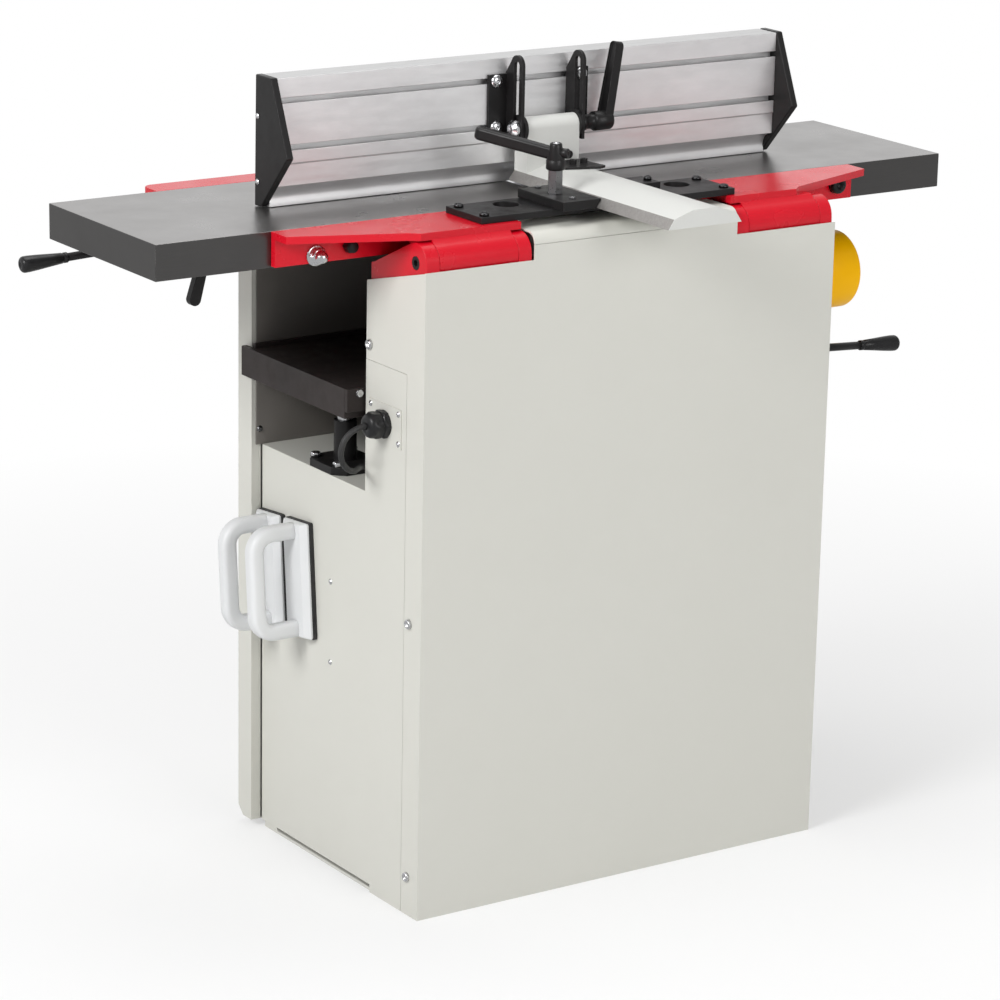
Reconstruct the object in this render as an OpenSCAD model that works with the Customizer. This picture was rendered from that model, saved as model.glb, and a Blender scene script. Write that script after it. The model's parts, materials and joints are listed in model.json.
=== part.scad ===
// Combination planer thicknesser: a floor machine with tilting surfacing tables,
// a sliding and tilting fence, and a thicknessing bay below the cutterblock.
// Origin: centre of the floor anchor pattern. +X runs along the tables, +Y towards
// the operator, away from the hinges, and +Z up. Millimetres.

/* [Cabinet] */
// Width over the side panels
body_w = 594; // [570:1:640]
// Depth from the hinge side to the bay's far wall
body_d = 369; // [355:1:390]
// Depth of the cover on the operator side
cover_d = 35; // [30:1:45]
// How far that cover stands out past each side panel
cover_over = 14.5; // [10:0.5:20]
// Sheet steel thickness
sheet_t = 2; // [1.5:0.5:3]
// Height of the bay floor
shelf_z = 505; // [495:1:512]
// Depth of the drive enclosure on the hinge side
drive_d = 127; // [123:1:131]
// Depth of the hinge side panel's top below the table tops
rim_set = 42; // [41:1:46]
// Height of the seam on the side faces
seam_z = 667; // [655:1:690]
// Width of the hinge side panel's folded flanges
wrap_w = 37; // [30:1:45]
// Bottom edge of the side panels and the cover above the floor
toe_z = 10; // [6:1:16]
// Joint gap between panels
seam_gap = 0.4; // [0.4:0.1:1]
// Distance of the floor anchors from the outside of the side panels
anchor_in = 35; // [25:1:50]
// Spacing of the floor anchors along Y
anchor_y = 280; // [260:1:296]
// Radius of a floor anchor hole
anchor_r = 6; // [5:0.5:7]

/* [Surfacing tables] */
// Planing width
table_w = 260; // [250:1:266]
// Height of the table tops
table_z = 836; // [834:1:840]
// Depth of the table skirts
table_t = 43; // [40:1:45]
// Thickness of the table plates
plate_t = 12; // [10:0.5:14]
// Length of the infeed table
infeed_len = 550; // [500:1:600]
// Length of the outfeed table
outfeed_len = 521; // [500:1:600]
// Half width of the mouth over the cutterblock
mouth = 34; // [33:0.5:38]
// Distance of the tables from the hinge side of the cabinet
table_set = 115; // [112:1:120]
// Length of thin lip beside the mouth
lip_w = 62; // [56:1:70]

/* [Hinges] */
// Distance of the hinge axis from the hinge side of the cabinet
hinge_set = 27; // [26.5:0.5:30]
// Depth of the hinge axis below the table tops
hinge_drop = 35; // [34:0.5:36]
// Radius of the barrels and ears
barrel_r = 24; // [22:0.5:24.5]
// Radius of the hinge pins
pin_r = 8; // [6:0.5:10]
// Distance of the inner ears from the middle
ear_x = 149; // [148:1:156]
// Thickness of an ear
ear_t = 18; // [14:1:20]
// Distance of the outer ears from the outside of the side panels
ear_set = 3.2; // [3:0.1:10]
// Thickness of the brackets' plates
bracket_t = 9; // [7:0.5:9]
// Distance of a bracket's tip from the end of its table
tip_set = 150; // [120:1:170]

/* [Fence] */
// Length of the fence between its end plates
fence_len = 728; // [650:1:800]
// Height of the fence
fence_h = 156; // [150:1:165]
// Offset of the fence and its pivot along X
fence_x = -6; // [-8:1:5]
// Position of the working face along Y
fence_y = 45; // [40:1:60]
// Thickness of the fence profile
fence_t = 37; // [34:1:40]
// Thickness of the black end plates
end_t = 9.5; // [6:0.5:10]
// Width of the sliding bar
bar_w = 105; // [96:1:112]
// Overhang of the bar in front of the hinge side
bar_over = 131; // [100:1:180]
// Height of the tilt axis above the tables
tilt_h = 73; // [70:1:80]
// Distance of the tilt axis from the back of the fence
tilt_set = 24.5; // [24:0.5:30]
// Width of the upright
upright_w = 76; // [70:1:86]
// Thickness of the upright
upright_t = 27; // [24:1:32]
// Radius of the tilt bolt
bolt_r = 5; // [4:0.5:6]

/* [Thicknesser] */
// How far the thicknesser table stands out past the cover at each end
thick_over = 9.5; // [6:0.5:20]
// Height of the thicknesser table's top
thick_z = 631; // [624:1:634]
// Depth of its skirts
thick_t = 37; // [32:1:40]
// Side clearance of the table in the bay
thick_gap = 3; // [2:0.5:5]
// Thickness of its side rails
rail_t = 6; // [5:0.5:8]
// How far the far rail stands above the table
rail_rise = 5; // [2:0.5:8]
// Thickness of the table's end plates
end_plate_t = 8; // [5:0.5:8]
// Radius of the guide rods
rod_r = 10; // [8:0.5:11]
// Radius of the guide columns
column_r = 14; // [13:0.5:17]
// Height of the guide columns above the bay floor
column_h = 60; // [50:1:64]
// Distance of the guide columns from the side panels
column_in = 35; // [35:1:60]
// Position of the guide columns along Y
column_y = 28; // [20:1:40]
// Radius of the lifting screw
screw_r = 9; // [7:0.5:10]
// Outer radius of the dust port
port_r = 50; // [40:1:52]
// Reach of the dust port past the side panel
port_reach = 161; // [120:1:200]
// Wall of the dust hood and port
hood_t = 3; // [2:0.5:4]

/* [Cutterblock] */
// Radius of the knife circle
cutter_r = 37.5; // [36:0.5:38]
// Radius of the bearing seats
journal_r = 10; // [8:0.5:12]
// Outer radius of the bearings
bearing_r = 21; // [18:0.5:21.5]
// Radius of a feed roller
roller_r = 18; // [14:0.5:18]
// Distance of the feed rollers from the cutter axis
roller_x = 64; // [62:1:66]
// Radius of the pulley on the cutterblock
cutter_pulley_r = 21; // [18:0.5:22]
// Radius of the pulley on the motor
motor_pulley_r = 38; // [32:0.5:48]
// Radius of the motor body
motor_r = 75; // [60:1:80]
// Height of the motor axis
motor_z = 210; // [200:1:230]

/* [Controls] */
// Radius of the handwheel
wheel_r = 70; // [55:1:90]
// Radius of the handwheel shaft
shaft_r = 8; // [6:0.5:10]
// Height of the handwheel axis
wheel_z = 440; // [425:1:445]
// Radius of the lever rods
lever_r = 5; // [4:0.5:6]
// Radius of a push button
button_r = 11; // [8:0.5:13]
// Running clearance round pins and shafts
fit = 0.05; // [0.02:0.01:0.1]
// Gap between faces of pieces that move past each other
play = 0.4; // [0.3:0.1:0.6]

/* [Push blocks] */
// Width of a push block
block_w = 57; // [54:1:62]
// Length of a push block
block_l = 147; // [130:1:160]
// Reach of the handle from the side panel
block_reach = 78; // [65:1:90]
// Lean of the push blocks on the panel, degrees
block_lean = 5; // [0:1:10]

/* [Mains lead] */
// Diameter of the lead
cord_d = 7; // [6:0.5:7]
// Turns in each layer of the coil
coil_turns = 3; // [2:1:3]
// Radius of the outer turn of the coil
coil_r = 53; // [51:1:55]

/* [Hidden] */
$fn = 48;

// Colours
paint = "#dcdcd6";
red = "#c8102e";
black = "#1c1c1e";
iron = "#6f7175";
alu = "#b9bcc0";
steel = "#a4a7ab";
brown = "#352b28";
white = "#f0f0ee";

// Cabinet planes
half_w = body_w / 2;
back_y = -(body_d + cover_d) / 2;
wall_y = back_y + body_d;
front_y = wall_y + cover_d;
bay_y = back_y + drive_d;
inner_x = half_w - sheet_t;
rim_z = table_z - rim_set;
rim_drop = 32;
bed_z = table_z - 76;
bed_t = 15;
frame_top_z = table_z - 54;
cover_half = half_w + cover_over;

// Table planes
table_y0 = back_y + table_set;
table_y1 = table_y0 + table_w;
skirt_z = table_z - table_t;
skirt_t = 12;
lip_end = mouth + lip_w;
infeed_end = mouth + infeed_len;
outfeed_end = mouth + outfeed_len;

// Hinges
hinge_y = back_y + hinge_set;
hinge_z = table_z - hinge_drop;
barrel_x = ear_x + ear_t + play;
outer_ear_x = half_w - ear_set - ear_t;
barrel_len = outer_ear_x - play - barrel_x;
bracket_x = ear_x + 3;
bracket_y = table_y0 - play;
bracket_z = table_z - bracket_t;

// Bridge plate, clamp and fence bar
bridge_x = bracket_x + 31;
bridge_mid = -19;
bridge_y0 = hinge_y + 3;
bridge_y1 = table_y0 - 8;
bridge_t = 8;
bar_z = table_z + bridge_t;
bar_flank = 8;
bar_shoulder = 12;
flank_slope = bar_flank / (bar_shoulder - play / 2);
function flank_x(rise) = bar_w / 2 + play - flank_slope * (rise - play / 2);
bar_h = 21;
bar_top_w = 34;
tilt_y = fence_y - fence_t - tilt_set;
tilt_z = table_z + tilt_h;
fence_z = table_z + 0.6;
fence_back = fence_y - fence_t;
fence_top = table_z + fence_h;
upright_r = upright_t / 2;
disc_r = 17;
disc_t = 4;
web_t = 4;
web_x = upright_w / 2 + play + disc_t;
slot_low = tilt_z - 1;
slot_high = tilt_z + 77;
tslot_z = [fence_z + 72.5, fence_z + 128.7];
tslot_w = 6.6;
tslot_d = 11;
fence_bolt_x = web_x + 19.5;
clamp_x = bar_w / 2 + 24;
clamp_y = bridge_y0 + 34;
clamp_t = 11;
stud_top = bar_z + clamp_t + 28;

// Thicknesser
thick_len = 2 * (cover_half + thick_over);
thick_y0 = bay_y + thick_gap;
thick_y1 = wall_y - thick_gap;
thick_mid = (bay_y + wall_y) / 2;
column_x = half_w - column_in;
thick_under = thick_z - plate_t;
hood_y0 = thick_y0 + rail_t;
hood_y1 = thick_y1 - 14;
hood_x0 = -110;
hood_x1 = half_w - 1;
hood_top = bed_z - 22;
port_z = thick_z + port_r + 1;
port_y = hood_y0 + port_r + 4;
port_x = half_w + port_reach;

// Cutterblock
cutter_z = table_z - cutter_r;
block_r = cutter_r - 1;
roller_z = cutter_z - cutter_r + roller_r - 1;
pulley_y0 = back_y + 54;
pulley_y1 = pulley_y0 + 22;
housing_r = bearing_r + 5;
finger_x = 112;
finger_z = table_z - 60;
pulley_gap = 0.4;

// Mains lead: gland, route of the free stretch and coil
gland_y = back_y + 84;
gland_z = 598;
gland_len = 27;
cord_r = cord_d / 2;
coil_at = [-95, 20];
coil_z = 508.8;
layer_h = cord_d + 0.7;
coil_pitch = cord_d + 0.6;
coil_tail = 45;
lead_route = [
  [-324, -118, 598], [-329, -118, 598], [-342, -118, 594], [-352, -117, 584], [-356, -116, 570],
  [-352, -114, 556], [-342, -110, 546], [-330, -103, 541], [-318, -91, 538.5], [-306, -77, 535.5],
  [-295, -66, 532.5], [-282, -57, 528.5], [-267, -51, 523.5], [-250, -47, 518.5],
  [-232, -44, 514], [-214, -41, 511], [-194, -39, 509.4], [-172, -37, 508.8], [-150, -35, 508.8],
  [-130, -33.6, 508.8], [-112, -33, 508.8], [-102, -33, 508.8]];

// Shapes that repeat
module box(lo, hi) translate(lo) cube(hi - lo);
module rod_x(r, x0, x1, y, z) translate([x0, y, z]) rotate([0, 90, 0]) cylinder(r = r, h = x1 - x0);
module rod_y(r, y0, y1, x, z) translate([x, y1, z]) rotate([90, 0, 0]) cylinder(r = r, h = y1 - y0);
module rod_z(r, z0, z1, x, y) translate([x, y, z0]) cylinder(r = r, h = z1 - z0);
module prism_x(pts, x0, x1) translate([x0, 0, 0]) rotate([90, 0, 90]) linear_extrude(x1 - x0) polygon(pts);
module prism_y(pts, y0, y1) translate([0, y1, 0]) rotate([90, 0, 0]) linear_extrude(y1 - y0) polygon(pts);
module prism_z(pts, z0, z1) translate([0, 0, z0]) linear_extrude(z1 - z0) polygon(pts);
module both_sides() {
  children();
  mirror([1, 0, 0]) children();
}

// Points of an arc from angle a0 to a1 about a centre
function arc(c, r, a0, a1, n = 10) =
  [for (i = [0 : n]) let (a = a0 + (a1 - a0) * i / n) c + r * [cos(a), sin(a)]];

// A socket head or dome head screw whose head stands on a face, pointing along -Y, -X or +Z
module screw_y(x, y, z, r = 5, h = 4) rod_y(r, y - h, y, x, z);
module screw_x(x, y, z, r = 5, h = 3) {
  difference() {
    rod_x(r, x - h, x, y, z);
    rod_x(r * 0.45, x - h - 1, x - h / 2, y, z, $fn = 6);
  }
}
module screw_z(x, y, z, r = 5, h = 4) {
  difference() {
    rod_z(r, z, z + h, x, y);
    rod_z(r * 0.5, z + h / 2, z + h + 1, x, y, $fn = 6);
  }
}

// A tube of rings round a line of points
function unit(v) = v / norm(v);
function tangent(p, i) = unit(p[min(i + 1, len(p) - 1)] - p[max(i - 1, 0)]);
function ring(p, i, r, n) =
  let (t = tangent(p, i), s = unit(cross(t, [0, 0, 1])), u = cross(s, t))
  [for (k = [0 : n - 1]) p[i] + r * (cos(360 * k / n) * s + sin(360 * k / n) * u)];
module tube(p, r, n) {
  m = len(p);
  points = [for (i = [0 : m - 1]) each ring(p, i, r, n)];
  sides = [for (i = [0 : m - 2], k = [0 : n - 1])
    let (a = i * n + k, b = i * n + (k + 1) % n)
    each [[a, b, b + n], [a, b + n, a + n]]];
  start = [for (k = [1 : n - 2]) [0, k + 1, k]];
  end = [for (k = [1 : n - 2]) [(m - 1) * n, (m - 1) * n + k, (m - 1) * n + k + 1]];
  polyhedron(points, concat(sides, start, end));
}

// Coil of the lead: spirals in on the lower layer, climbs at the middle and spirals out again
coil_n = 24;
function climb(t) = let (c = min(1, max(0, (t - coil_turns + 0.25) * 2))) c * c * (3 - 2 * c);
function coil_point(t) =
  let (a = 360 * t - 90, r = coil_r - coil_pitch * (coil_turns - abs(t - coil_turns)))
  [coil_at.x + r * cos(a), coil_at.y + r * sin(a), coil_z + layer_h * climb(t)];
coil_start = [coil_at.x, coil_at.y - coil_r, coil_z];
coil_end = coil_start + [0, 0, layer_h];
coil_route = concat(
  [coil_start - [cord_d, 0, 0]],
  [for (i = [0 : 2 * coil_turns * coil_n]) coil_point(i / coil_n)],
  [for (x = [cord_d, 25, coil_tail]) coil_end + [x, 0, 0]]);
coil_gap = min([for (i = [0 : len(coil_route) - 1], j = [i + coil_n / 2 : len(coil_route) - 1])
  norm(coil_route[i] - coil_route[j])]) - cord_d;
echo("least gap of the coil to itself, mm", coil_gap);

// Cabinet: a welded base ring with corner posts and the motor rails
module base_frame() {
  ring_y0 = back_y + sheet_t + 1;
  ring_y1 = wall_y - 3;
  ring_x = inner_x - 1;
  post = 30;
  rim = 65;
  rail_z = motor_z - motor_r - 11;
  color(paint) {
    difference() {
      box([-ring_x, ring_y0, 0], [ring_x, ring_y1, 4]);
      box([-ring_x + rim, 25 - anchor_y / 2, -1], [ring_x - rim, anchor_y / 2 - 25, 5]);
      for (x = [-1, 1], y = [-1, 1])
        rod_z(anchor_r, -1, 5, x * (half_w - anchor_in), y * anchor_y / 2);
    }
    both_sides() {
      box([ring_x - 4, ring_y0, 3], [ring_x, ring_y0 + post, bed_z - bed_t]);
      box([ring_x - post, ring_y0, 3], [ring_x, ring_y0 + 4, bed_z - bed_t]);
      box([ring_x - 4, ring_y1 - post, 3], [ring_x, ring_y1, shelf_z - sheet_t]);
      box([ring_x - post, ring_y1 - 4, 3], [ring_x, ring_y1, shelf_z - sheet_t]);
    }
    for (y = [-25, 85])
      box([-ring_x, y, rail_z - 8], [ring_x, y + 20, rail_z]);
    for (x = [-1, 1])
      box([x * (ring_x - 2) - 2, ring_y0, rail_z - 8], [x * (ring_x - 2) + 2, ring_y1, rail_z]);
  }
}

// Hinge side panel, folded round both corners and notched for the hinges
module rear_panel() {
  front = [[-half_w, 0], [half_w, 0], [half_w, rim_z], [ear_x - 2, rim_z], [ear_x - 2, rim_z + 18],
    [2 - ear_x, rim_z + 18], [2 - ear_x, rim_z], [-half_w, rim_z]];
  side = [[back_y, 0], [back_y + wrap_w, 0], [back_y + wrap_w, seam_z + seam_gap],
    [bay_y, seam_z + seam_gap], [bay_y, rim_z - rim_drop], [back_y, rim_z]];
  color(paint) {
    prism_y(front, back_y, back_y + sheet_t);
    both_sides()
      prism_x(side, half_w - sheet_t, half_w);
  }
}

side_outline = [[back_y + wrap_w + seam_gap, 0], [back_y + 108, 0], [back_y + 108, toe_z], [wall_y, toe_z],
  [wall_y, shelf_z], [bay_y, shelf_z], [bay_y, seam_z], [back_y + wrap_w + seam_gap, seam_z]];

// Left side panel with the small plate that carries the cable gland
module left_side_panel() {
  color(paint) {
    prism_x(side_outline, -half_w, -inner_x);
    box([-half_w - 1.2, gland_y - 37, gland_z - 24], [-half_w, gland_y + 35, gland_z + 24]);
  }
}

// Right side panel with the slot and pivot of the feed lever
lever_y = back_y + 60;
lever_z = 622;
lever_x = half_w - 27;
module right_side_panel() {
  color(paint) {
    difference() {
      prism_x(side_outline, inner_x, half_w);
      box([inner_x - 1, lever_y - 8, lever_z - 22], [half_w + 1, lever_y + 8, lever_z + 20]);
    }
    box([lever_x - 12, lever_y - 18, lever_z - 15], [inner_x, lever_y - 10, lever_z + 15]);
    rod_y(5, lever_y - 11, lever_y + 10, lever_x, lever_z);
  }
}

// Cover on the operator side: a folded box with a chamfered bottom edge
module front_cover() {
  y0 = wall_y + sheet_t + 0.3;
  chamfer = 12;
  outer = [[y0, toe_z], [front_y - chamfer, toe_z], [front_y, toe_z + chamfer], [front_y, frame_top_z],
    [y0, frame_top_z]];
  inner = [[y0 - 1, toe_z + sheet_t], [front_y - chamfer - 1, toe_z + sheet_t],
    [front_y - sheet_t, toe_z + chamfer + 1], [front_y - sheet_t, frame_top_z - sheet_t],
    [y0 - 1, frame_top_z - sheet_t]];
  color(paint) {
    difference() {
      prism_x(outer, -cover_half, cover_half);
      prism_x(inner, -cover_half + sheet_t, cover_half - sheet_t);
      rod_y(12, front_y - 10, front_y + 1, 0, wheel_z);
      box([-126, y0 - 1, frame_top_z - 5], [126, front_y - 8, frame_top_z + 1]);
    }
    both_sides()
      box([half_w + 0.5, y0, toe_z], [cover_half, y0 + sheet_t, frame_top_z]);
    difference() {
      rod_y(18, front_y - 14, front_y + 1, 0, wheel_z);
      rod_y(shaft_r + fit, front_y - 15, front_y + 2, 0, wheel_z);
    }
  }
}

// Floor of the thicknessing bay
module shelf_plate() {
  color(paint)
    difference() {
      box([-inner_x, bay_y - sheet_t, shelf_z - sheet_t], [inner_x, wall_y + sheet_t, shelf_z]);
      rod_z(screw_r + 2, shelf_z - 5, shelf_z + 1, 0, thick_mid);
    }
}

// Walls of the bay on the drive side and on the operator side
module bay_walls() {
  near_top = bed_z - bed_t - 1;
  near = [[-inner_x, shelf_z], [inner_x, shelf_z], [inner_x, near_top], [-inner_x, near_top]];
  far_x = half_w + 9;
  far = [[-far_x, shelf_z], [far_x, shelf_z], [far_x, frame_top_z], [125, frame_top_z], [125, bed_z - 25],
    [-125, bed_z - 25], [-125, frame_top_z], [-far_x, frame_top_z]];
  color(paint) {
    prism_y(near, bay_y - sheet_t, bay_y);
    prism_y(far, wall_y, wall_y + sheet_t);
  }
}

// Fixed cover between the hinges with a rounded front
module centre_cover() {
  t = 2.5;
  low = rim_z + 18 + seam_gap;
  top = bracket_z - seam_gap;
  r = top - low;
  outline = concat(arc([back_y + r, low], r, 180, 90), [[table_y0 - 14, top], [table_y0 - 14, top - t]],
    arc([back_y + r, low], r - t, 90, 180));
  color(paint) {
    prism_x(outline, 2 - ear_x, ear_x - 2);
    both_sides()
      box([ear_x - 20, back_y + 28, bed_z], [ear_x - 16, back_y + 58, top - 2]);
  }
}

// Cast beds that carry the hinges, the cutterblock bearings and the feed rollers
module bearing_seats(y0, y1) {
  difference() {
    union() {
      box([-housing_r, y0, bed_z - 2], [housing_r, y1, cutter_z]);
      rod_y(housing_r, y0, y1, 0, cutter_z);
      both_sides() {
        box([roller_x - 15, y0, bed_z - 2], [roller_x + 15, y1, roller_z + 15]);
        box([finger_x - 12, y0, bed_z - 2], [finger_x + 12, y1, finger_z + 10]);
      }
    }
    rod_y(bearing_r, y0 - 1, y1 + 1, 0, cutter_z);
    both_sides()
      rod_y(8 + fit, y0 - 1, y1 + 1, roller_x, roller_z);
    rod_y(6 + fit, y0 - 1, y1 + 1, finger_x, finger_z);
  }
}
module bed_castings() {
  color(iron) {
    difference() {
      box([-inner_x + 5, back_y + sheet_t + 1, bed_z - bed_t], [inner_x - 5, bay_y - 4, bed_z]);
      box([-60, pulley_y0 - 8, bed_z - bed_t - 1], [60, pulley_y1 + 8, bed_z + 1]);
    }
    bearing_seats(bay_y - 28, bay_y - 4);
    box([-124, wall_y + sheet_t, bed_z - 50], [124, wall_y + 22, bed_z]);
    bearing_seats(wall_y + sheet_t, wall_y + 22);
  }
}

// Ears of the table hinges, and their pins
ear_outline = concat([[hinge_y - barrel_r, bed_z], [hinge_y - barrel_r, hinge_z]],
  arc([hinge_y, hinge_z], barrel_r, 180, 62, 12), [[bay_y - 10, skirt_z - 7.5],
    [bay_y - 4, skirt_z - 9], [bay_y - 4, bed_z]]);
module hinge_ears() {
  color(red)
    both_sides()
      for (x = [ear_x, outer_ear_x])
        difference() {
          prism_x(ear_outline, x, x + ear_t);
          rod_x(pin_r + fit, x - 1, x + ear_t + 1, hinge_y, hinge_z);
        }
}
module hinge_pins() {
  color(steel)
    both_sides()
      difference() {
        rod_x(pin_r, ear_x, outer_ear_x + ear_t, hinge_y, hinge_z);
        rod_x(pin_r * 0.55, outer_ear_x + ear_t - 5, outer_ear_x + ear_t + 1, hinge_y, hinge_z, $fn = 6);
      }
}

// Bearings of the cutterblock
bearing_y = [bay_y - 22, wall_y + 5];
bearing_t = 12;
module cutter_bearings() {
  color(steel)
    for (y = bearing_y)
      difference() {
        rod_y(bearing_r - fit, y, y + bearing_t, 0, cutter_z);
        rod_y(journal_r + fit, y - 1, y + bearing_t + 1, 0, cutter_z);
        for (s = [-1, bearing_t - 1.5])
          difference() {
            rod_y(bearing_r - 4, y + s, y + s + 2.5, 0, cutter_z);
            rod_y(journal_r + 4, y + s - 1, y + s + 4, 0, cutter_z);
          }
      }
}

// Drive motor: finned body on two feet, with its terminal box
motor_y0 = -45;
motor_y1 = 125;
module motor() {
  feet_z = motor_z - motor_r - 11;
  color("#3a4046")
    difference() {
      union() {
        rod_y(motor_r - 8, motor_y0, motor_y1, 0, motor_z);
        rod_y(motor_r - 3, motor_y1 - 45, motor_y1, 0, motor_z);
        for (i = [0 : 23])
          translate([0, motor_y0 + 12, motor_z]) rotate([0, i * 15, 0])
            box([-1.5, 0, 0], [1.5, 105, motor_r]);
        for (y = [-25, 85])
          box([-55, y, feet_z], [55, y + 20, motor_z - motor_r + 20]);
        box([motor_r - 20, motor_y0 + 30, motor_z - 35], [motor_r + 28, motor_y0 + 110, motor_z + 35]);
      }
      rod_y(9.5 + fit, motor_y0 - 1, motor_y0 + 60, 0, motor_z);
    }
}

// V-belt from the motor to the cutterblock, one closed loop round both pulleys
module belt_outline(grow) {
  d = cutter_z - motor_z;
  lean = asin((motor_pulley_r - cutter_pulley_r) / d);
  a = arc([0, cutter_z], cutter_pulley_r + grow, lean, 180 - lean, 24);
  b = arc([0, motor_z], motor_pulley_r + grow, 180 - lean, 360 + lean, 24);
  polygon(concat(a, b));
}
module drive_belt() {
  color(black)
    translate([0, pulley_y1 - 3, 0]) rotate([90, 0, 0]) linear_extrude(pulley_y1 - pulley_y0 - 6)
      difference() {
        belt_outline(pulley_gap + 3);
        belt_outline(pulley_gap);
      }
}

// Guide columns with chamfered flanges on the bay floor
flange_l = 78;
flange_w = 70;
flange_t = 10;
module guide_columns() {
  c = 14;
  l = flange_l / 2;
  w = flange_w / 2;
  plate = [[-w + c, -l], [w - c, -l], [w, -l + c], [w, l - c], [w - c, l],
    [-w + c, l], [-w, l - c], [-w, -l + c]];
  color(black)
    both_sides()
      translate([column_x, column_y, shelf_z])
        difference() {
          union() {
            prism_z(plate, 0, flange_t);
            cylinder(r = column_r, h = column_h);
          }
          translate([0, 0, 1]) cylinder(r = rod_r + fit, h = column_h);
        }
}

// Cable gland: locknut, hexagon body and domed nut
module cable_gland() {
  tip_x = -half_w - gland_len;
  color(black) {
    rod_x(18, -half_w - 8, -half_w - 1.2, gland_y, gland_z, $fn = 6);
    rod_x(14.5, -half_w - 10, -half_w - 8, gland_y, gland_z);
    rod_x(17, -half_w - 22, -half_w - 10, gland_y, gland_z, $fn = 6);
    translate([tip_x, gland_y, gland_z]) rotate([0, 90, 0])
      cylinder(r1 = cord_r + 3, r2 = 14.5, h = gland_len - 22);
  }
}
module mains_cord() color(black) tube(lead_route, cord_r, 10);
module cord_coil() color(black) tube(coil_route, cord_r, 6);

// Plug at the end of the coil: strain relief, grip and two pins
plug_at = coil_end + [coil_tail, 0, 0];
module plug() {
  r = plug_at.z - shelf_z - 0.4;
  color(black)
    translate(plug_at) rotate([0, 90, 0]) {
      cylinder(r1 = cord_r + 1, r2 = r - 3, h = 26);
      translate([0, 0, 26]) cylinder(r1 = r - 3, r2 = r, h = 10);
      translate([0, 0, 36]) cylinder(r = r, h = 24);
    }
  color(steel)
    for (s = [-1, 1])
      rod_x(2.4, plug_at.x + 60, plug_at.x + 79, plug_at.y + s * 7, plug_at.z);
}

// Switch box on the operator side with its two push buttons
switch_x = 131.5 - cover_half;
switch_z = 690;
switch_d = 32;
button_dz = 22;
module switch_box() {
  color("#d8c23a")
    difference() {
      box([switch_x - 40, front_y, switch_z - 55], [switch_x + 40, front_y + switch_d, switch_z + 55]);
      for (s = [-1, 1])
        rod_y(button_r + play, front_y + 8, front_y + switch_d + 1, switch_x, switch_z + s * button_dz);
    }
}
module push_button(z, c) {
  color(c) {
    rod_y(button_r, front_y + 13, front_y + switch_d + 5, switch_x, z);
  }
}
module start_button() push_button(switch_z + button_dz, "#1f8a3a");
module stop_button() push_button(switch_z - button_dz, "#c01818");

// Screws of the panels, the gland plate and the column flanges
module panel_screws() {
  color(steel) {
    for (s = [[bay_y - 8, 686], [back_y + 26, 367], [back_y + 24, 49]])
      both_sides()
        screw_x(-half_w, s[0], s[1], 6, 4);
    for (z = [268, 371])
      screw_x(-half_w, 2, z, 3.5, 2);
    for (y = [-31, 30], z = [-18, 18])
      screw_x(-half_w - 1.2, gland_y + y, gland_z + z, 3.5, 2);
    both_sides()
      for (x = [-1, 1], y = [-1, 1])
        rod_z(6.5, shelf_z + flange_t, shelf_z + flange_t + 6, column_x + x * 26, column_y + y * 26, $fn = 6);
    both_sides()
      for (z = [shelf_z + 20, 755])
        screw_y(half_w + 4, wall_y, z, 4, 2);
  }
}

// Shaft of the anti-kickback fingers
module kickback_shaft() {
  color(steel) rod_y(6, bay_y - 28, wall_y + 22, finger_x, finger_z);
}
module kickback_fingers() {
  n = 12;
  pitch = (wall_y - bay_y - 20) / n;
  color("#55565a")
    for (i = [0 : n - 1])
      translate([finger_x, bay_y + 10 + pitch * (i + 0.5), finger_z])
        difference() {
          union() {
            rod_y(10, -3, 3, 0, 0);
            prism_y([[-10, 0], [-6, -24], [4, -24], [10, 0]], -3, 3);
          }
          rod_y(6 + fit, -4, 4, 0, 0);
        }
}

// A surfacing table from x0 to x1, with its skirts, ribs and thin lip at the mouth
module table_casting(length) {
  x0 = mouth;
  x1 = mouth + length;
  ribs = 3;
  pitch = (x1 - skirt_t - lip_end) / (ribs + 1);
  difference() {
    box([x0, table_y0, skirt_z], [x1, table_y1, table_z]);
    box([x0 - 1, table_y0 - 1, skirt_z - 1], [lip_end, table_y1 + 1, table_z - plate_t]);
    difference() {
      box([lip_end + skirt_t, table_y0 + skirt_t, skirt_z - 1],
        [x1 - skirt_t, table_y1 - skirt_t, table_z - plate_t]);
      for (i = [1 : ribs])
        box([lip_end + i * pitch, table_y0, skirt_z + 8], [lip_end + i * pitch + 8, table_y1, table_z]);
      box([x0, (table_y0 + table_y1) / 2 - 4, skirt_z + 8], [x1, (table_y0 + table_y1) / 2 + 4, table_z]);
    }
  }
}
module outfeed_table() color(iron) table_casting(outfeed_len);

// The infeed table carries the lug of its lock lever
lock_x = -infeed_end + 148;
lock_y = 60;
lock_z = skirt_z - 22;
module infeed_table() {
  color(iron) {
    mirror([1, 0, 0]) table_casting(infeed_len);
    difference() {
      box([lock_x - 13, lock_y + 24, lock_z - 12], [lock_x + 13, lock_y + 36, table_z - plate_t + 1]);
      rod_y(5 + fit, lock_y + 20, lock_y + 40, lock_x, lock_z);
    }
  }
}
module infeed_lock_lever() {
  color(black) {
    rod_y(5, lock_y, lock_y + 38, lock_x, lock_z);
    rod_y(9, lock_y, lock_y + 24 - play, lock_x, lock_z);
    translate([lock_x, lock_y + 8, lock_z]) rotate([0, 180 + 16, 0]) cylinder(r1 = 6, r2 = 8, h = 52);
  }
}

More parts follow.
